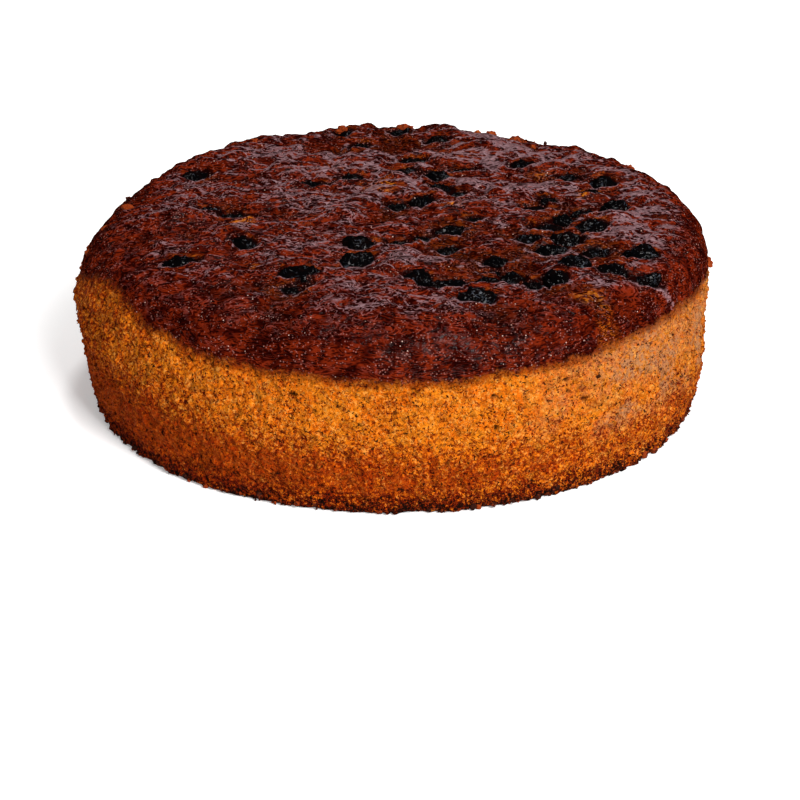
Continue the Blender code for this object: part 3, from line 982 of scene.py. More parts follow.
@dataclass(frozen=True)
class CakeForm:
    """The cake's smooth form and the relief that it shares with its solid."""

    radius: float = 0.113
    height: float = 0.068
    edge: float = 0.051
    shoulder_power: float = 17
    soft_side: float = math.pi
    soft_drop: float = 0.006
    soft_power: float = 7
    draw_in: float = 0.005
    draw_height: float = 0.034
    chamfer: float = 0.0012
    swells: tuple[Layer, ...] = ((0.0018, 0.019, 3), (0.0011, 0.010, 8))
    dip_depth: float = 0.0022
    dip_reach: float = 0.0085
    crags: tuple[Layer, ...] = ((0.0009, 0.019, 21), (0.0006, 0.007, 34))
    ragged_height: float = 0.014
    ragged_crag: float = 0.0010
    ragged_seed: int = 55
    bulge: float = 0.0024
    bulge_height: float = 0.037
    bulge_reach: float = 0.007
    low_rim: float = math.radians(61)  # the angle about which the far rim lies low, without lumps
    low_reach: float = math.radians(9)
    low_drop: float = 0.0020
    crown_radius: float = 0.094
    crown_share: float = 0.77  # of the way from the middle to the crust's edge, at that radius

    def softness(self, angle: np.ndarray) -> np.ndarray:
        """How near an angle is to the side that rose less: the cosine of the angle between them, squared."""
        return np.maximum(np.cos(angle - self.soft_side), 0) ** 2

    def sag(self, angle: np.ndarray) -> np.ndarray:
        """How near an angle is to the far rim's low stretch, from 0 to 1."""
        return np.exp(-(((angle - self.low_rim) / self.low_reach) ** 2))

    def edge_height(self, angle: np.ndarray) -> np.ndarray:
        """Where the crust ends on the wall at that angle."""
        return self.edge - self.soft_drop * self.softness(angle)

    def power(self, angle: np.ndarray) -> np.ndarray:
        """The power of the superellipse that the crown follows at that angle."""
        return self.shoulder_power + (self.soft_power - self.shoulder_power) * self.softness(angle)

    def crown(self, share: np.ndarray, angle: np.ndarray) -> tuple[Points, Points]:
        """The smooth crown: flat rings out to the crown radius, then an even turn down the superellipse
        (r/R)^p + ((z - edge)/(H - edge))^2 = 1.

        Args:
            share: How far along from the middle, 0, to the crust's edge, 1.
            angle: The angle about +Z.

        Returns:
            The points and their outward normals.
        """
        power, edge = self.power(angle), self.edge_height(angle)
        rise = self.height - edge
        start = np.arccos((self.crown_radius / self.radius) ** (power / 2))
        turn = start * np.clip((1 - share) / (1 - self.crown_share), 0, 1)
        shoulder = self.radius * np.cos(turn) ** (2 / power)
        radius = np.where(share < self.crown_share, self.crown_radius * share / self.crown_share, shoulder)
        ratio = np.minimum(radius / self.radius, 1)
        height = edge + rise * np.where(share < self.crown_share, np.sqrt(1 - ratio**power), np.sin(turn))
        out = power / 2 * ratio ** (power - 1) / self.radius
        up = (height - edge) / rise**2
        length = np.hypot(out, up)
        out, up = out / length, up / length
        return self.turned(radius, height, angle), self.turned(out, up, angle)

    def wall(self, share: np.ndarray, angle: np.ndarray) -> tuple[Points, Points]:
        """The smooth wall, which draws in towards the base along a parabola.

        Args:
            share: How far down from the crust's edge, 0, to the chamfer at the base, 1.
            angle: The angle about +Z.

        Returns:
            The points and their outward normals.
        """
        edge = self.edge_height(angle)
        height = edge + (self.chamfer - edge) * share
        radius = self.radius - self.draw_in * np.maximum(1 - height / self.draw_height, 0) ** 2
        outward = self.turned(np.ones_like(radius), np.zeros_like(radius), angle)
        return self.turned(radius, height, angle), outward

    @staticmethod
    def turned(radius: np.ndarray, height: np.ndarray, angle: np.ndarray) -> Points:
        """Points, or directions, at that radius and height and turned to that angle."""
        return np.stack([radius * np.cos(angle), radius * np.sin(angle), height], axis=-1)

    def swell(self, points: Points, raisins: list[Raisin]) -> np.ndarray:
        """The crust's large relief, as in the solid: swells less a dip round each raisin, fading at the wall.

        Args:
            points: Places on the smooth crown.
            raisins: The raisins.

        Returns:
            How far up each point moves.
        """
        flat = points * (1, 1, 0)
        swell = sum(height * rolling(flat, pitch, seed) for height, pitch, seed in self.swells)
        level = np.ones(points.shape[:-1])
        for raisin in raisins:
            near = np.abs(points[..., :2] - raisin.middle[:2]).max(axis=-1) < 4 * self.dip_reach
            away = np.linalg.norm(points[near][:, :2] - raisin.middle[:2], axis=-1)
            level[near] *= 1 - np.exp(-((away / self.dip_reach) ** 2))
        fade = 1 - np.minimum(np.linalg.norm(points[..., :2], axis=-1) / self.radius, 1) ** 12
        return (swell - self.dip_depth * (1 - level)) * fade

    def crag(self, points: Points) -> np.ndarray:
        """The wall's large relief, as in the solid: two sizes of crag, rougher at the foot, and the soft
        side's bulge."""
        crags = sum(height * rolling(points, pitch, seed) for height, pitch, seed in self.crags)
        low = np.clip(1 - points[..., 2] / self.ragged_height, 0, 1)
        ragged = self.ragged_crag * low * rolling(points, self.crags[1][1], self.ragged_seed)
        bulge = self.bulge * np.exp(-(((points[..., 2] - self.bulge_height) / self.bulge_reach) ** 2))
        return crags + ragged + bulge * self.softness(np.arctan2(points[..., 1], points[..., 0])) ** 2


@dataclass(frozen=True)
class CrustFolds:
    """Folds, wrinkles and pleats: the absolute value of gradient noise, which puffs up between creases."""

    knead: Knead = (0.010, 0.0030, 60)
    layers: tuple[tuple[Layer, Place], ...] = (
        ((0.0022, 0.0085, 44), (0.8, 1.25, 1)),
        ((0.0006, 0.0036, 45), (1, 1, 1)),
        ((0.00020, 0.0019, 46), (1, 1, 1)),
    )  # the folds, wrinkles and pleats, each with its squeeze along x, y and z
    level: float = 0.3  # the noise's value that neither sinks nor rises

    def relief(self, points: Points) -> np.ndarray:
        """How far out each point of the crown moves."""
        kneaded = stir(points, *self.knead)
        relief = np.zeros(points.shape[:-1])
        for (height, pitch, seed), squeeze in self.layers:
            relief += height * (np.abs(ripple(kneaded * squeeze, pitch, seed)) - self.level)
        return relief


@dataclass(frozen=True)
class CrumbGrain:
    """The wall's fine relief: flakes of two sizes of gradient noise, partly creased by its absolute value,
    with knobs on some spots of cellular noise and pores about others."""

    knead: Knead = (0.0050, 0.0022, 70)
    flakes: Grain = (0.0034, 51)
    creases: Grain = (0.0026, 54)
    crease_share: float = 0.6  # how strong the creases are beside the flakes
    crease_level: float = 0.35  # the noise's value that neither sinks nor rises
    small: Grain = (0.0015, 52)
    flake_height: float = 0.0009
    small_height: float = 0.0006
    pores: Grain = (0.0046, 53)
    pore_knead: Knead = (0.0018, 0.0008, 73)
    pore_size: float = 0.62  # the share of the pores' spots that have none
    pore_reach: Span = (0.08, 0.24)  # radius of the smallest, in pitches, and how much wider the largest is
    pore_floor: float = 0.35  # how much of that radius is flat
    pore_depth: float = 0.0016
    pore_depths: Span = (0.4, 0.6)  # share of that depth which all pores have, and which the largest add
    knobs: Grain = (0.0048, 57)
    knob_edge: Span = (0.36, 0.14)  # distances, in pitches, between which a knob rises
    knob_size: Span = (0.55, 0.70)  # the spots' values at which they begin to have one, and have all
    knob_height: float = 0.0010

    def relief(self, points: Points) -> tuple[np.ndarray, np.ndarray]:
        """Works the relief out.

        Args:
            points: Places on the wall.

        Returns:
            How far out each point moves, and how deep it lies in a pore from 0 to 1.
        """
        kneaded = stir(points, *self.knead)
        creased = self.crease_level - np.abs(ripple(kneaded, *self.creases))
        flakes = ripple(kneaded, *self.flakes) + self.crease_share * creased
        small = ripple(kneaded, *self.small)
        near, size = cells(stir(kneaded, *self.pore_knead), *self.pores)
        least, more = self.pore_reach
        reach = least + more * smoothstep(self.pore_size, 1.0, size)
        pore = smoothstep(reach, self.pore_floor * reach, near) * (size > self.pore_size)
        beside, proud = cells(kneaded, *self.knobs)
        knob = smoothstep(*self.knob_edge, beside) * smoothstep(*self.knob_size, proud)
        relief = self.flake_height * flakes + self.small_height * small + self.knob_height * knob
        least, more = self.pore_depths
        return relief - self.pore_depth * pore * (least + more * size), pore


@dataclass(frozen=True)
class Bed:
    """How the crust lies under and round one raisin, by the distance out from its elliptical outline."""

    reach: float = 0.014  # how far from its ends it changes the crust
    outline: float = 0.92  # where the outline lies, as a share of the raisin's half lengths
    pit: Span = (0.0004, -0.0012)  # distances between which the crust sinks
    lip: Span = (0.0012, 0.0011)  # the lip's distance and half its width
    lip_shares: Span = (0.5, 1.1)  # how high it is behind, and how much higher in front
    front: Span = (0.3, -0.5)  # how far towards +Y the front begins, and is full
    # distances out from the outline between which the gap is painted dark as shade
    gap_shade: Span = (0.0017, 0.0005)
    bank: Span = (0.0006, 0.0030)
    bank_reach: float = 0.006
    bank_side: Span = (-0.1, 0.8)
    ember: Span = (0.0014, 0.0018)  # its distance and half its width
    ember_side: Span = (0.0, 0.8)

    @staticmethod
    def ridge(out: np.ndarray, middle: float, width: float) -> np.ndarray:
        """A soft ridge at some distance, 1 along its top."""
        return np.exp(-(((out - middle) / width) ** 2))

    def at(self, out: np.ndarray, behind: np.ndarray) -> dict[str, np.ndarray]:
        """What places near one raisin have of its bed.

        Args:
            out: How far out from its outline each is.
            behind: How far each lies towards +Y of its middle, as a sine.

        Returns:
            The pit; the lip, which is higher on the side towards -Y; the painted shade in the gap between
            them;
            and the bank and the ember-coloured crust behind, towards +Y.
        """
        least, more = self.lip_shares
        bank = smoothstep(*self.bank, out) * np.exp(-out / self.bank_reach)
        return {
            "pit": smoothstep(*self.pit, out),
            "lip": self.ridge(out, *self.lip) * (least + more * smoothstep(*self.front, behind)),
            "gap_shade": smoothstep(*self.gap_shade, out),
            "bank": bank * smoothstep(*self.bank_side, behind),
            "ember": self.ridge(out, *self.ember) * smoothstep(*self.ember_side, behind),
        }


@dataclass(frozen=True)
class Bake:
    """The fine relief and the masks of crust and crumb, worked out at points of the smooth form."""

    form: CakeForm
    raisins: list[Raisin]
    folds: CrustFolds = CrustFolds()
    grain: CrumbGrain = CrumbGrain()
    bed: Bed = Bed()
    crust_end: float = 0.0530  # height at which the crust's colour ends on the wall
    crust_dips: tuple[tuple[float, float, float], ...] = (
        (-0.0030, -84, 24),
        (0.0062, -152, 14),
        (-0.0060, 180, 9),
        (0.0012, -36, 14),
    )  # how much higher that is about some angles in degrees, and within how many
    crust_wavers: tuple[Layer, ...] = ((0.0012, 0.014, 80), (0.0009, 0.0035, 81))
    lump: float = 0.0022  # height of the lumps on the far rim
    pit: float = 0.0005  # how much deeper the crust lies under a raisin
    lip: float = 0.0009  # how much it stands up beside one
    lap: float = 0.0009  # how far its edge wanders over or away from one
    laps: Grain = (0.0040, 83)
    bank: float = 0.0014  # how much it banks up behind one, towards +Y
    uneven: Span = (0.6, 0.8)  # a lip's least height as a share, and how much that varies
    unevens: Grain = (0.006, 82)
    between: float = 0.0032  # how near a raisin a place begins to count as beside it
    between_core: float = 0.3  # share of that within which it counts in full
    crowded: Span = (1.1, 1.6)  # how many a place is beside where the crust is painted dark as shade, and is all dark
    lit_side: float = -0.65  # the angle at which the crumb is browned least: painted light on the lit side
    lit_share: float = 0.35
    sheen_side: Place = (0.72, 0.62, 0)  # towards where the crust has most of its painted sheen
    sheen_span: Span = (-0.072, 0.078)  # how far that way it begins to have more, and has all
    sheen_least: float = 0.32  # how much it has elsewhere
    sheen_level: Span = (-0.40, 0.15)  # how high it stands up where it begins to have painted sheen, and has all
    sheen_edge: Span = (0.109, 0.090)  # the radius where it has none yet, and all
    sheen_thinning: tuple[float, ...] = (0.039, 0.005, 0.020)  # x, y and reach of a patch where the painted sheen is thin
    sheen_thinning_share: float = 0.45  # how much of it is gone there
    thin: Span = (0.02, 0.12)  # how much painted sheen there is everywhere, and how much more in patches
    thin_edge: Span = (0.113, 0.103)
    thin_patches: Patches = Patches(0.0090, 90, -0.3, 0.3)
    # how much painted sheen, a painted highlight, lies on the raisins' lips
    lip_sheen: float = 0.75
    brim: float = 0.10  # how much painted sheen greys the crust just above its lower edge
    brim_height: float = 0.0035
    brim_reach: float = 0.0015
    brim_patches: Patches = Patches(0.0050, 87, -0.2, 0.4)
    ember: float = 0.8  # how rusty it is close behind a raisin
    ember_patches: Patches = Patches(0.0070, 89, -0.5, 0.5)
    damp: float = 0.5  # and in its dips
    damp_depth: Span = (-0.2, -1.1)  # how deep a dip is where that begins, and is full
    skin: float = 0.9  # how much of the pale smooth patches shows on the wall
    skin_from: Span = (-72, -46)  # angles in degrees between which it begins
    skin_to: Span = (12, -8)  # and ends
    skin_height: Span = (0.014, 0.028)
    skin_patches: Patches = Patches(0.014, 85, -0.10, 0.25)
    skin_top: Span = (0.026, 0.044)  # heights between which it closes up
    skin_top_share: float = 0.62
    under: Span = (-0.0050, 0.0)  # how far from the crust's end the crumb is shaded
    toast: Span = (0.040, 0.013)  # heights between which the wall browns towards its foot
    soft_side_shade: float = 0.74  # how much more it is browned on the soft side: painted shade on the side away from the light
    foot: Span = (0.0140, 0.0005)
    shoulder_shade: float = 0.5  # how much darker the shoulder is, away from the sheen's side: painted shade
    shoulder: Span = (0.098, 0.110)
    shoulder_side: Span = (0.6, -0.2)
    border: float = 0.0024  # how far crust and crumb mix above and below the crust's end
    calm: Span = (0.112, 0.104)  # radii between which the crust's fine relief grows
    calm_share: float = 0.35  # how much of it there is on the shoulder
    pit_calm: float = 0.8  # and how much less in a pit
    puff: float = 0.0003  # how far the crust stands out as a whole
    lumps: Grain = (0.0060, 86)
    lump_more: float = 0.1  # what is added to that noise, so that more of the rim has lumps
    lump_side: Span = (0.1, 0.7)  # how far back, in radii, the lumps begin
    lump_rim: Span = (0.100, 0.108)
    sag_rim: Span = (0.088, 0.103)  # radii between which the far rim's low stretch begins
    sag_height: Span = (0.048, 0.056)
    swell_fade: float = 0.004  # how far above and below the crust's edge the swells fade out
    moist_knead: Knead = (0.007, 0.0035, 30)
    moist_ease: Span = (1.15, 0.35)  # shares of a patch's reach where it begins, and is full
    moist: tuple[tuple[float, float, float, float], ...] = (
        (-5, 28, 9, 1.0),
        (22, 10, 5, 1.0),
        (-52, -10, 6, 0.9),
        (2, -27, 6, 0.5),
        (22, -53, 10, 0.45),
        (72, -87, 8, 0.8),
        (-48, -53, 5, 0.9),
        (-28, -23, 5, 0.7),
        (54, 42, 7, 0.8),
        (70, 18, 4, 1.0),
        (67, -76, 9, 0.9),
        (72, -27, 7, 0.4),
        (41, 23, 6, 0.4),
        (-23, 49, 6, 0.7),
        (29, 64, 10, 0.4),
        (-52, 76, 4, 0.6),
        (22, -7, 4, 0.6),
    )  # x, y and reach in mm of the moist, rusty patches, and how strong each is

    def beds(self, points: Points) -> dict[str, np.ndarray]:
        """What the crust has of the beds of all raisins, with nothing but painted shade in the gaps where
        they crowd.

        Args:
            points: Places on the crown.

        Returns:
            How much each point has of the pit, the lip, the painted gap shade, the bank and the ember.
        """
        beds = {name: np.zeros(points.shape[:-1]) for name in ("pit", "lip", "gap_shade", "bank", "ember")}
        crowd = np.zeros(points.shape[:-1])
        lap = self.lap * ripple(points, *self.laps)
        for raisin in self.raisins:
            long, wide = raisin.half[0], raisin.half[1]
            near = np.abs(points[..., :2] - raisin.middle[:2]).max(axis=-1) < long + self.bed.reach
            away = points[near] - raisin.middle
            across = away @ raisin.axes
            ring = np.hypot(across[:, 0] / long, across[:, 1] / wide)
            out = (ring - self.bed.outline) * wide + lap[near]
            behind = away[:, 1] / np.maximum(np.hypot(away[:, 0], away[:, 1]), 1e-6)
            for name, value in self.bed.at(out, behind).items():
                beds[name][near] = np.maximum(beds[name][near], value)
            crowd[near] += smoothstep(self.between, self.between_core * self.between, out)
        shut = smoothstep(*self.crowded, crowd)
        beds["gap_shade"] = np.maximum(beds["gap_shade"], shut)
        for name in ("lip", "bank", "ember"):
            beds[name] = beds[name] * (1 - shut)
        return beds

    def moistness(self, points: Points) -> np.ndarray:
        """How moist and rusty the crust is: a soft spot about each patch's middle, its outline kneaded."""
        plan = stir(points * (1, 1, 0), *self.moist_knead) * (1, 1, 0)
        moist = np.zeros(points.shape[:-1])
        for x, y, reach, strength in self.moist:
            away = np.hypot(plan[..., 0] - MILLIMETRE * x, plan[..., 1] - MILLIMETRE * y)
            moist = np.maximum(moist, strength * smoothstep(*self.moist_ease, away / (MILLIMETRE * reach)))
        return moist

    def above_edge(self, points: Points) -> np.ndarray:
        """How high a point is above the crust's wavering lower edge."""
        angle = np.degrees(np.arctan2(points[..., 1], points[..., 0]))
        end = self.crust_end
        for height, pitch, seed in self.crust_wavers:
            end = end + height * ripple(points, pitch, seed)
        for rise, middle, reach in self.crust_dips:
            aside = (angle - middle + 180) % 360 - 180
            end = end + rise * np.exp(-((aside / reach) ** 2))
        return points[..., 2] - end

    def shape(self, smooth: Points, normals: Points) -> tuple[Points, dict[str, np.ndarray]]:
        """Moves points of the smooth form to the baked surface, and works out its masks.

        Args:
            smooth: Points of the smooth form.
            normals: Their outward normals.

        Returns:
            The baked points, and the masks by name.
        """
        radius = np.linalg.norm(smooth[..., :2], axis=-1)
        turned = np.arctan2(smooth[..., 1], smooth[..., 0])
        above = self.above_edge(smooth)
        crust = smoothstep(-self.border, self.border, above)
        swell = self.form.swell(smooth, self.raisins)
        outward = smooth * (1, 1, 0) / np.maximum(radius, 1e-6)[..., None]
        side = smoothstep(self.form.crown_radius, self.form.radius, radius)
        crumb, pore = self.grain.relief(smooth)
        beds = self.beds(smooth)
        pit = beds["pit"]
        sag = self.form.sag(turned) * smoothstep(*self.sag_rim, radius)
        detail = self.crust_relief(smooth, radius, beds, sag)
        fine = crumb * (1 - crust) + detail * crust
        baked = smooth + outward * (self.form.crag(smooth) * side)[..., None]
        edge, fade = self.form.edge, self.swell_fade
        baked[..., 2] += swell * smoothstep(edge - fade, edge + fade, smooth[..., 2])
        drop = self.form.low_drop * sag * smoothstep(*self.sag_height, smooth[..., 2])
        baked[..., 2] -= self.pit * pit + drop
        baked += normals * fine[..., None]
        baked[..., 2] = np.maximum(baked[..., 2], 0)
        level = (swell + detail) / self.form.dip_depth
        damp = smoothstep(*self.damp_depth, swell / self.form.dip_depth)
        ember = self.ember * beds["ember"] * self.ember_patches.at(smooth)
        aside = smoothstep(*self.shoulder_side, smooth @ self.sheen_side / radius)
        masks = {
            "crust": crust,
            "moist": np.maximum.reduce([self.moistness(smooth), self.damp * damp, ember]) * (1 - pit),
            "painted_sheen": self.painted_sheen(smooth, radius, level, above, beds),
            "pore": pore * (1 - crust),
            "gap_shade": beds["gap_shade"] * crust,
            "tint": np.zeros_like(crust),
            # how high the crust stands, less painted shade on the shoulder away from the sheen's side
            "relief": level - self.shoulder_shade * smoothstep(*self.shoulder, radius) * aside,
        }
        return baked, masks | self.wall_masks(smooth, turned, above, crust)

    def crust_relief(
        self, smooth: Points, radius: np.ndarray, beds: dict[str, np.ndarray], sag: np.ndarray
    ) -> np.ndarray:
        """The crust's fine relief: its folds, calmer on the shoulder and in the pits, lumps on the far rim,
        and the lips and banks of the raisins' beds.

        Args:
            smooth: Points of the smooth form.
            radius: Their radii.
            beds: What they have of the raisins' beds.
            sag: What they have of the far rim's low stretch.

        Returns:
            How far out each point moves.
        """
        pit = beds["pit"]
        least, more = self.uneven
        uneven = least + more * ripple(smooth, *self.unevens)
        top = smoothstep(*self.calm, radius)
        far = smoothstep(*self.lump_side, smooth[..., 1] / self.form.radius)
        far = far * smoothstep(*self.lump_rim, radius)
        lumps = self.lump * np.maximum(ripple(smooth, *self.lumps) + self.lump_more, 0) * (1 - sag)
        calm = self.calm_share + (1 - self.calm_share) * top
        detail = self.folds.relief(smooth) * calm * (1 - self.pit_calm * pit) + lumps * far
        return detail + (self.lip * beds["lip"] * uneven + self.bank * beds["bank"]) * (1 - pit) + self.puff

    def painted_sheen(
        self,
        smooth: Points,
        radius: np.ndarray,
        level: np.ndarray,
        above: np.ndarray,
        beds: dict[str, np.ndarray],
    ) -> np.ndarray:
        """How much painted greyish sheen the crust has: most on what stands up and towards the sheen's side,
        a little everywhere, a line of it along the brim, and more on the raisins' lips.

        Args:
            smooth: Points of the smooth form.
            radius: Their radii.
            level: How high the crust stands up there, in depths of a dip.
            above: How high they are above the crust's end.
            beds: What they have of the raisins' beds.

        Returns:
            Values from 0 to 1.
        """
        least, more = self.thin
        thin = (least + more * self.thin_patches.at(smooth)) * smoothstep(*self.thin_edge, radius)
        crest = smoothstep(*self.sheen_level, level) * smoothstep(*self.sheen_edge, radius)
        share = smoothstep(*self.sheen_span, smooth @ self.sheen_side)
        painted_sheen = np.maximum(crest * (self.sheen_least + (1 - self.sheen_least) * share), thin)
        x, y, reach = self.sheen_thinning
        sheen_thinning = np.exp(-np.sum((smooth[..., :2] - (x, y)) ** 2, axis=-1) / reach**2)
        painted_sheen = painted_sheen * (1 - self.sheen_thinning_share * sheen_thinning)
        brim = self.brim * np.exp(-(((above - self.brim_height) / self.brim_reach) ** 2))
        painted_sheen = np.maximum(painted_sheen, brim * self.brim_patches.at(smooth))
        return np.maximum(painted_sheen, self.lip_sheen * beds["lip"]) * (1 - beds["ember"])

    def wall_masks(
        self, smooth: Points, turned: np.ndarray, above: np.ndarray, crust: np.ndarray
    ) -> dict[str, np.ndarray]:
        """Where the wall has a painted shadow under the crust, where it is browned, with painted shade on the
        soft side and painted light towards the lit side, where it is scorched and where it has pale smooth
        patches.

        Args:
            smooth: Points of the smooth form.
            turned: Their angles about +Z.
            above: How high they are above the crust's end.
            crust: How much of each is crust.

        Returns:
            The masks by name.
        """
        height = smooth[..., 2]
        around = np.degrees(turned)
        beside = smoothstep(*self.skin_from, around) * smoothstep(*self.skin_to, around)
        beside = beside * smoothstep(*self.skin_height, height)
        closed = self.skin_top_share * smoothstep(*self.skin_top, height)
        # painted light: less browning towards the lit side
        pale = self.lit_share * np.maximum(np.cos(turned - self.lit_side), 0) ** 4
        return {
            "under": smoothstep(*self.under, above),
            "toast": smoothstep(*self.toast, height) + self.soft_side_shade * self.form.softness(turned) - pale,
            "foot": smoothstep(*self.foot, height),
            "skin": self.skin * np.maximum(self.skin_patches.at(smooth), closed) * beside * (1 - crust),
        }


# ---------------------------------------------------------------- the pieces


@dataclass(frozen=True)
class Crust:
    """The crown and its shoulder, on a square grid wrapped evenly onto the disc and cut into four quarters,
    each closed by a hidden lid below."""

    bake: Bake
    steps: int = 600  # across the square grid
    bare_slope: float = 0.42  # how much further than the smooth form it turns to -Y before it has no painted sheen
    sheen_slope: float = -0.02  # and up to where it has all
    slope_rust: float = 0.25  # how rusty a slope towards -Y is where the crust is damp: colour laid by the slope's facing, for slopes that catch no sheen
    damp: Patches = Patches(0.012, 88, -0.3, 0.4)
    damp_rim: Span = (0.110, 0.100)  # radii between which that begins
    rusty_slope: Span = (0.15, 0.55)
    outer_tuck: float = 0.002  # how far the lid's edge lies below the outer edge
    inner_tuck: float = 0.007  # and below a cut
    lid_share: float = 0.015  # how far it lies inwards, as a share of the way to the quarter's middle
    edge_share: float = 0.999  # the share of the way out from which a point is on the crust's own edge

    def rings(self) -> tuple[np.ndarray, np.ndarray]:
        """Wraps the square grid onto the disc: squares about its middle become circles, with even angles.

        Returns:
            For each point of the grid, its share of the way to the edge and its angle.
        """
        line = np.linspace(-1, 1, self.steps + 1)
        across, down = np.meshgrid(line, line)
        wide = np.abs(across) >= np.abs(down)
        main, other = np.where(wide, across, down), np.where(wide, down, across)
        ratio = np.divide(other, main, out=np.zeros_like(main), where=main != 0)
        lean = np.pi / 4 * ratio
        angle = np.where(wide, lean, np.pi / 2 - lean) + np.pi * (main < 0)
        return np.abs(main), angle

    def rim(self, size: int) -> np.ndarray:
        """The numbers of a square grid's outermost points, anticlockwise from the corner at +X, -Y."""
        grid = np.arange(size * size).reshape(size, size)
        return np.concatenate([grid[:-1, -1], grid[-1, :0:-1], grid[:0:-1, 0], grid[0, :-1]])

    def forward(self, points: Points) -> np.ndarray:
        """How far the surface turns to -Y at each point of the grid, as a sine, from the cross product of
        the steps along its two directions."""
        normal = np.cross(np.gradient(points, axis=1), np.gradient(points, axis=0))
        return -normal[..., 1] / np.maximum(np.linalg.norm(normal, axis=-1), 1e-12)

    def quarter(
        self,
        name: str,
        points: Points,
        masks: dict[str, np.ndarray],
        outer: np.ndarray,
        material: bpy.types.Material,
    ) -> Piece:
        """Closes one quarter of the grid.

        Args:
            name: The piece's name.
            points: The quarter's points.
            masks: Its masks.
            outer: Where it is the crust's own edge.
            material: The baked finish.

        Returns:
            The piece.
        """
        size = points.shape[0]
        points = points.reshape(-1, 3)
        rim = self.rim(size)
        middle = points.mean(axis=0)
        tucked = points[rim] + (middle - points[rim]) * (self.lid_share, self.lid_share, 0)
        tucked[:, 2] -= np.where(outer.ravel()[rim], self.outer_tuck, self.inner_tuck)
        count = len(points)
        inner = count + np.arange(len(rim))
        points = np.concatenate([points, tucked, [(middle[0], middle[1], tucked[:, 2].min())]])
        quads = grid_quads(size, size)[:, ::-1]
        band = np.stack([rim, inner, np.roll(inner, -1), np.roll(rim, -1)], axis=-1)
        lid = fan(inner[::-1], len(points) - 1)
        spare = len(rim) + 1
        masks = {mask: np.concatenate([values.ravel(), np.zeros(spare)]) for mask, values in masks.items()}
        return Piece(name, points, [quads, band, lid], material, "crust", ("cake",), masks, 2 * len(rim))

    def pieces(self, material: bpy.types.Material) -> list[Piece]:
        """Works the crust out, and where its painted sheen and its rust lie by how far it turns to -Y.

        Args:
            material: The baked finish.

        Returns:
            The crust's four quarters.
        """
        share, angle = self.rings()
        smooth, normals = self.bake.form.crown(share, angle)
        points, masks = self.bake.shape(smooth, normals)
        forward = self.forward(points) + normals[..., 1]
        masks["painted_sheen"] = masks["painted_sheen"] * smoothstep(self.bare_slope, self.sheen_slope, forward)
        flat = smoothstep(*self.damp_rim, np.linalg.norm(smooth[..., :2], axis=-1))
        rusty = self.slope_rust * flat * self.damp.at(smooth) * smoothstep(*self.rusty_slope, forward)
        masks["moist"] = np.maximum(masks["moist"], rusty)
        half = self.steps // 2
        pieces = []
        for name, row, column in (
            ("crust_front_left", 0, 0),
            ("crust_front_right", 0, half),
            ("crust_back_left", half, 0),
            ("crust_back_right", half, half),
        ):
            block = (slice(row, row + half + 1), slice(column, column + half + 1))
            quarter_masks = {mask: values[block] for mask, values in masks.items()}
            outer = share[block] > self.edge_share
            pieces.append(self.quarter(name, points[block], quarter_masks, outer, material))
        return pieces


@dataclass(frozen=True)
class Wall:
    """The crumb below the crust's edge and the flat base, as a grid round the cake whose first row is the
    crust's last, closed by a hidden lid above."""

    bake: Bake
    columns: int = 1200
    rows: int = 72
    base_rings: tuple[float, ...] = (0.985, 0.96, 0.9, 0.78, 0.6, 0.4, 0.2)  # of the base's radius
    base_lift: float = 0.00025  # how far the base stands off the ground on average, with a ripple
    base_ripple: Grain = (0.006, 90)
    base_edge: Span = (1.0, 0.9)  # the share of the base's radius where it begins, and is full
    base_middle: float = 0.0003
    lid_share: float = 0.985  # the hidden lid's radius
    lid_lift: float = 0.0006

    def piece(self, material: bpy.types.Material) -> Piece:
        """Works the wall out.

        Args:
            material: The baked finish.

        Returns:
            The wall's piece.
        """
        turn = 2 * np.pi * np.arange(self.columns) / self.columns - np.pi / 4
        share, angle = np.meshgrid(np.linspace(0, 1, self.rows), turn, indexing="ij")
        smooth, normals = self.bake.form.wall(share, angle)
        points, masks = self.bake.shape(smooth, normals)
        foot = points[-1]
        rings = np.array([foot * (ring, ring, 0) for ring in self.base_rings])
        off = smoothstep(*self.base_edge, np.array(self.base_rings))[:, None]
        rings[..., 2] = self.base_lift * (1 + ripple(rings, *self.base_ripple)) * off
        tucked = points[0] * (self.lid_share, self.lid_share, 1) + (0, 0, self.lid_lift)
        shell = np.concatenate([points, rings]).reshape(-1, 3)
        count = len(shell)
        middle = [(0, 0, self.base_middle), (0, 0, tucked[:, 2].max())]
        everything = np.concatenate([shell, tucked, middle])
        rows = self.rows + len(self.base_rings)
        last = np.arange(self.columns) + self.columns * (rows - 1)
        first = np.arange(self.columns)
        inner = count + first
        band = np.stack([inner, first, np.roll(first, -1), np.roll(inner, -1)], axis=-1)
        polygons = [
            grid_quads(rows, self.columns, around=True),
            fan(last[::-1], len(everything) - 2),
            band,
            fan(inner, len(everything) - 1),
        ]
        base = len(self.base_rings) * self.columns
        browned = {"toast": 1.0, "foot": 1.0}  # the base's masks that aren't 0
        hidden = np.zeros(self.columns + len(middle))
        filled = {
            name: np.concatenate([mask.ravel(), np.full(base, browned.get(name, 0.0)), hidden])
            for name, mask in masks.items()
        }
        lid = 2 * self.columns
        return Piece("crumb_wall", everything, polygons, material, "crumb", ("cake",), filled, lid)


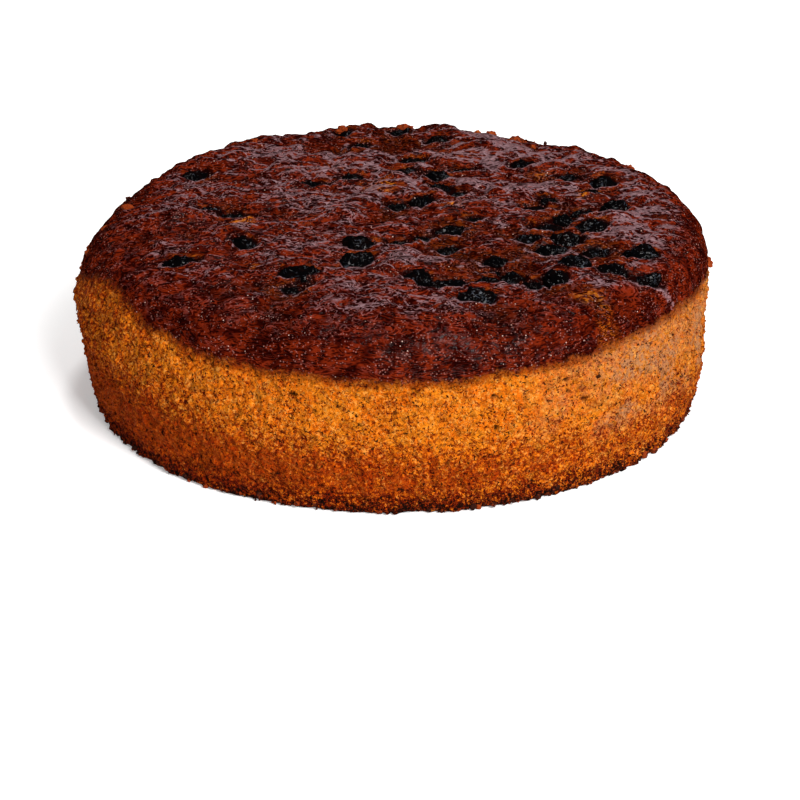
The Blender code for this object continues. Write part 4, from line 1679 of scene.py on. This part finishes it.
@dataclass(frozen=True)
class RaisinSkins:
    """A wrinkled skin for each raisin, fitted to its solid."""

    raisins: list[Raisin]
    sides: int = 64
    rings: int = 40
    growth: float = 1.06  # a little more than the solid, whose facets cut its corners
    dent: float = 0.22  # share of its size by which a raisin's form wanders
    furrow: float = 0.0015  # depth of its long furrows
    crease: float = 0.0008  # and of the creases between them
    dents: Grain = (0.006, 91)
    knead: Knead = (0.004, 0.0016, 92)
    stretch: Place = (0.6, 1, 1)  # less than 1 draws the furrows out along the length
    furrows: Grain = (0.0026, 95)
    creases: Grain = (0.0015, 96)
    level: float = 0.35  # the noise's value that neither sinks nor rises
    apart: float = 0.05  # how far apart in the noise two raisins are

    def piece(self, raisin: Raisin, number: int, material: bpy.types.Material) -> Piece:
        """Works one raisin out: an ellipsoid dented by slow noise and furrowed along its length by the
        absolute value of noise that is stretched that way.

        Args:
            raisin: Where it lies.
            number: Which it is, which chooses its noise.
            material: The raisin's finish.

        Returns:
            The raisin's piece.
        """
        unit, polygons = ball(self.sides, self.rings)
        unit = unit[:, [2, 0, 1]]  # the poles at the ends of the length
        local = unit * raisin.half * self.growth
        place = local + self.apart * number
        dents = 1 + self.dent * ripple(place, *self.dents)
        furrows = np.abs(ripple(stir(place, *self.knead) * self.stretch, *self.furrows))
        creases = np.abs(ripple(place, *self.creases))
        depth = self.furrow * (self.level - furrows) + self.crease * (self.level - creases)
        slope = unit / raisin.half
        normal = slope / np.linalg.norm(slope, axis=-1, keepdims=True)
        shaped = local * dents[:, None] - normal * depth[:, None]
        points = shaped @ raisin.axes.T + raisin.middle
        return Piece(f"skin_of_{raisin.node}", points, polygons, material, "raisin", (raisin.node,))


@dataclass(frozen=True)
class WallBits:
    """Grains or shreds of crumb that stand out from the wall, all worked out at once from the baked surface
    under them."""

    bake: Bake
    name: str
    count: int
    sizes: Span  # half width, smallest and largest
    length: float  # in widths
    sides: int
    rings: int
    seed: int
    sunk: float = 0.45  # of its half width
    lean: float = 0.75  # how far it lies down along the wall; below 0 it stands up from it
    rarity: float = 2.0  # the higher, the fewer are large
    stretch: Span = (0.65, 1.3)
    dent: float = 0.25  # how far its points wander, as a share of its size

    def piece(self, material: bpy.types.Material) -> Piece:
        """Works the bits out: dented balls, each drawn out along a random line that is laid down or stood up.

        Args:
            material: The baked finish.

        Returns:
            The piece.
        """
        draw = np.random.default_rng(self.seed)
        angle = draw.uniform(-np.pi, np.pi, self.count)
        share = draw.uniform(0.0, 1.0, self.count)
        smooth, normals = self.bake.form.wall(share, angle)
        seat, masks = self.bake.shape(smooth, normals)
        low, high = self.sizes
        radius = low + (high - low) * draw.uniform(0, 1, self.count) ** self.rarity
        along = draw.normal(size=(self.count, 3))
        along -= self.lean * (along * normals).sum(axis=-1, keepdims=True) * normals
        along /= np.linalg.norm(along, axis=-1, keepdims=True)
        side = np.cross(along, draw.normal(size=(self.count, 3)))
        side /= np.linalg.norm(side, axis=-1, keepdims=True)
        frames = np.stack([side, np.cross(along, side), along * self.length], axis=-1)
        unit, polygons = ball(self.sides, self.rings)
        stretch = draw.uniform(*self.stretch, (self.count, 1, 3))
        lumps = 1 + self.dent * draw.uniform(-1, 1, (self.count, len(unit), 1))
        middle = seat - normals * (self.sunk * radius)[:, None]
        shaped = np.einsum("kij,knj->kni", frames, unit[None] * stretch * lumps)
        points = middle[:, None] + shaped * radius[:, None, None]
        points[..., 2] = np.maximum(points[..., 2], GROUND)
        joined = repeated(polygons, len(unit), self.count)
        masks = {name: np.repeat(mask, len(unit)) for name, mask in masks.items()}
        masks["pore"] *= 0
        masks["tint"] = np.repeat(draw.uniform(-1, 1, self.count), len(unit))
        return Piece(self.name, points.reshape(-1, 3), joined, material, "crumb", (), masks)


class CrumbPlace(Enum):
    """Where a kind of loose crumb lies."""

    RIM = "rim"
    FOOT = "foot"


@dataclass(frozen=True)
class LooseCrumbs:
    """One kind of loose crumb: lumpy balls that are all worked out at once."""

    place: CrumbPlace
    form: CakeForm
    count: int
    sizes: Span  # radius, smallest and largest
    browns: Span  # shares of browning, least and most
    seed: int
    sides: int = 7
    rings: int = 4
    rarity: float = 2.5  # the higher, the fewer are large
    stretch: Span = (0.7, 1.25)
    apart: float = 40  # how far apart in the noise two crumbs can be
    dents: tuple[Layer, ...] = ((0.35, 0.8, 97), (0.18, 0.4, 98))
    foot_out: Span = (-0.8, 0.9)  # how far from the wall's foot they lie, in their radii
    foot_height: Span = (0.85, 2.5)  # and how high
    rim_angles: Span = (20, 160)  # in degrees about +Z, so round the far side
    rim_shares: Span = (0.84, 0.97)  # shares of the way out to the crust's edge
    rim_lift: float = 0.2  # how far they stand off the crust, in their radii

    def centres(self, draw: np.random.Generator, radius: np.ndarray) -> Points:
        """Draws where the crumbs lie.

        Args:
            draw: The random source.
            radius: Each crumb's radius.

        Returns:
            Their middles.
        """
        angle = draw.uniform(0, 2 * np.pi, self.count)
        if self.place is CrumbPlace.FOOT:
            out = self.form.radius - self.form.draw_in + draw.uniform(*self.foot_out, self.count) * radius
            height = radius * draw.uniform(*self.foot_height, self.count)
            return self.form.turned(out, height, angle)
        angle = np.radians(draw.uniform(*self.rim_angles, self.count))
        share = draw.uniform(*self.rim_shares, self.count)
        smooth, normals = self.form.crown(share, angle)
        return smooth + normals * (self.rim_lift * radius)[:, None]

    def piece(self, name: str, material: bpy.types.Material) -> Piece:
        """Works the crumbs out: each is a ball stretched at random and dented by noise.

        Args:
            name: The piece's name.
            material: The crumbs' finish.

        Returns:
            The piece.
        """
        draw = np.random.default_rng(self.seed)
        low, high = self.sizes
        radius = low + (high - low) * draw.uniform(0, 1, self.count) ** self.rarity
        middle = self.centres(draw, radius)
        unit, polygons = ball(self.sides, self.rings)
        stretch = draw.uniform(*self.stretch, (self.count, 1, 3))
        lumps = dented(unit[None] + draw.uniform(0, self.apart, (self.count, 1, 3)), self.dents)
        points = middle[:, None] + unit[None] * stretch * lumps[..., None] * radius[:, None, None]
        points[..., 2] = np.maximum(points[..., 2], GROUND)
        joined = repeated(polygons, len(unit), self.count)
        brown = np.repeat(draw.uniform(*self.browns, self.count), len(unit))
        return Piece(name, points.reshape(-1, 3), joined, material, "crumb", (), {"brown": brown})


@dataclass(frozen=True)
class RimNuggets:
    """The few large nuggets baked onto the rim, each a ball dented by three sizes of noise."""

    places: tuple[tuple[float, float, float, float], ...] = (
        (61.9, 0.0668, 0.0034, 0.85),
        (68.3, 0.0664, 0.0024, 0.60),
        (71.0, 0.0668, 0.0016, 0.50),
        (65.6, 0.0674, 0.0014, 0.75),
        (58.8, 0.0658, 0.0012, 1.05),
        (55.9, 0.0676, 0.0009, 0.55),
        (88, 0.0645, 0.0027, 0.70),
        (102, 0.0665, 0.0021, 0.80),
        (34, 0.0630, 0.0022, 0.65),
        (-4, 0.0520, 0.0024, 0.70),
        (123, 0.0660, 0.0021, 0.80),
        (172, 0.0480, 0.0022, 0.65),
        (169, 0.0625, 0.0019, 0.75),
        (176, 0.0590, 0.0016, 0.80),
        (181, 0.0535, 0.0017, 0.65),
        (183, 0.0490, 0.0014, 0.70),
        (180, 0.0400, 0.0013, 0.75),
        (178, 0.0330, 0.0011, 0.80),
    )  # angle about +Z, height, radius and share of browning of each
    dents: tuple[Layer, ...] = ((0.42, 0.9, 97), (0.22, 0.38, 98), (0.10, 0.17, 99))
    apart: float = 7.0  # how far apart in the noise one and the next are
    sides: int = 40
    rings: int = 26
    sunk: float = 0.4  # of its radius
    steepest: float = 0.97  # how far up the shoulder a nugget's place is worked out
    shape: Place = (1.1, 1.1, 0.85)  # how wide, deep and high it is, in radii

    def piece(self, form: CakeForm, material: bpy.types.Material) -> Piece:
        """Works the nuggets out.

        Args:
            form: The cake's form, which says how far out each height is.
            material: The crumbs' finish.

        Returns:
            The piece.
        """
        unit, polygons = ball(self.sides, self.rings)
        points, joined, browns = [], [], []
        for number, (angle, height, radius, brown) in enumerate(self.places):
            turn = np.array(math.radians(angle))
            edge = float(form.edge_height(turn))
            rise = min(max((height - edge) / (form.height - edge), 0), self.steepest)
            out = form.radius * (1 - rise**2) ** (1 / float(form.power(turn))) - self.sunk * radius
            drop = form.low_drop * float(form.sag(turn))
            middle = form.turned(np.array(out), np.array(height - drop), turn)
            lumps = dented(unit + self.apart * number, self.dents)
            points.append(middle + unit * self.shape * lumps[:, None] * radius)
            joined += [polygon + number * len(unit) for polygon in polygons]
            browns.append(np.full(len(unit), brown))
        masks = {"brown": np.concatenate(browns)}
        return Piece("rim_nuggets", np.concatenate(points), joined, material, "crumb", (), masks)


# ---------------------------------------------------------------- the studio


@dataclass(frozen=True)
class Studio:
    """A pale sweep of floor, soft boxes and the camera."""

    floor_size: float = 8.0
    aim: Place = (0.0020, 0.0, -0.0058)
    elevation: float = 23.8  # of the camera, in degrees
    distance: float = 1.034
    lens: float = 125.4  # in millimetres, as the sensor's width is
    sensor: float = 36
    farthest: float = 50  # what the camera still sees
    glow: float = 0.25  # how much light the floor gives of itself, so that it stays pale
    surround: float = 0.42  # strength of the even light from all round
    surround_colour: Colour = (1.0, 0.99, 0.98)
    greys: tuple[Colour, Colour] = ((0.90, 0.90, 0.90), (0.93, 0.93, 0.93))  # the floor's
    lamp_aim: Place = (0, 0, 0.04)
    lamps: tuple[tuple[str, Place, float, float], ...] = (
        ("key", (0.85, -1.75, 1.35), 0.9, 82),
        ("overhead", (0.2, 0.5, 3.0), 0.6, 29),
    )  # name, place, side and power in watts of each

    def floor(self) -> bpy.types.Object:
        """The floor that the cake stands on.

        Returns:
            The floor.
        """
        half = self.floor_size / 2
        mesh = bpy.data.meshes.new("floor")
        corners = [(-half, -half, 0), (half, -half, 0), (half, half, 0), (-half, half, 0)]
        mesh.from_pydata(corners, [], [(0, 1, 2, 3)])
        graph = Graph("pale floor")
        shade = graph.noise(Noise(0.4))
        graph.set(
            Base_Color=graph.mix(shade, *self.greys),
            Roughness=0.9,
            Specular_IOR_Level=0.1,
            Emission_Color=(1.0, 1.0, 1.0),
            Emission_Strength=self.glow,
        )
        mesh.materials.append(graph.material)
        made = bpy.data.objects.new("floor", mesh)
        made.visible_glossy = False
        bpy.context.scene.collection.objects.link(made)
        return made

    def light(self, name: str, place: Place, size: float, power: float) -> None:
        """A square soft box that faces the cake.

        Args:
            name: Its name.
            place: Where it hangs.
            size: Its side.
            power: Its power in watts.
        """
        data = bpy.data.lights.new(name, "AREA")
        data.shape = "SQUARE"
        data.size = size
        data.energy = power
        lamp = bpy.data.objects.new(name, data)
        lamp.location = place
        lamp.rotation_euler = (Vector(self.lamp_aim) - Vector(place)).to_track_quat("-Z", "Y").to_euler()
        bpy.context.scene.collection.objects.link(lamp)

    def surroundings(self) -> None:
        """Even soft light from all round, which the gloss doesn't mirror."""
        world = bpy.data.worlds.new("studio")
        world.use_nodes = True
        background = world.node_tree.nodes["Background"]
        background.inputs["Strength"].default_value = self.surround
        background.inputs["Color"].default_value = (*self.surround_colour, 1)
        world.cycles_visibility.glossy = False
        bpy.context.scene.world = world

    def camera(self) -> None:
        """The camera, at the height and distance that show the cake as wanted."""
        data = bpy.data.cameras.new("camera")
        data.lens = self.lens
        data.sensor_width = self.sensor
        data.clip_end = self.farthest
        made = bpy.data.objects.new("camera", data)
        tilt = math.radians(self.elevation)
        away = Vector((0, -math.cos(tilt), math.sin(tilt)))
        made.location = Vector(self.aim) + away * self.distance
        made.rotation_euler = (math.pi / 2 - tilt, 0, 0)
        bpy.context.scene.collection.objects.link(made)
        bpy.context.scene.camera = made

    def build(self) -> None:
        """Sets up floor, lights and camera."""
        self.floor()
        self.surroundings()
        for name, place, size, power in self.lamps:
            self.light(name, place, size, power)
        self.camera()
        view = bpy.context.scene.view_settings
        view.view_transform = "Standard"
        view.look = "None"


def main() -> None:
    """Builds the cake's pieces in order, dresses them and sets up the studio."""
    logging.basicConfig(level=logging.INFO, format="%(name)s: %(message)s")
    form = CakeForm()
    raisins = [Raisin.read(node) for node in sorted(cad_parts) if node.startswith("raisin_")]
    bake = Bake(form, raisins)
    baked = BakedFinish().dress()
    for piece in Crust(bake).pieces(baked):
        piece.make()
    Wall(bake).piece(baked).make()
    skin = RaisinFinish().dress()
    skins = RaisinSkins(raisins)
    for number, raisin in enumerate(raisins):
        skins.piece(raisin, number, skin).make()
    loose = LooseFinish().dress()
    grains = WallBits(bake, "crumb_grains", 3600, (0.0004, 0.0010), length=1.0, sides=5, rings=3, seed=14)
    shreds = WallBits(bake, "crumb_shreds", 11500, (0.00016, 0.00030), length=3.2, sides=4, rings=2, seed=15)
    stray = WallBits(
        bake, "stray_shreds", 700, (0.00018, 0.00034), length=3.4, sides=5, rings=4, seed=16, lean=-2.0
    )
    for bits in (grains, shreds, stray):
        bits.piece(baked).make()
    RimNuggets().piece(form, loose).make()
    rim = LooseCrumbs(CrumbPlace.RIM, form, 70, (0.0005, 0.0013), browns=(0.7, 1.1), seed=9)
    rim.piece("rim_crumbs", loose).make()
    foot = LooseCrumbs(CrumbPlace.FOOT, form, 420, (0.0005, 0.0016), browns=(0.6, 1.4), seed=8)
    foot.piece("foot_crumbs", loose).make()
    Studio().build()
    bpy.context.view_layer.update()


if __name__ == "__main__":
    main()
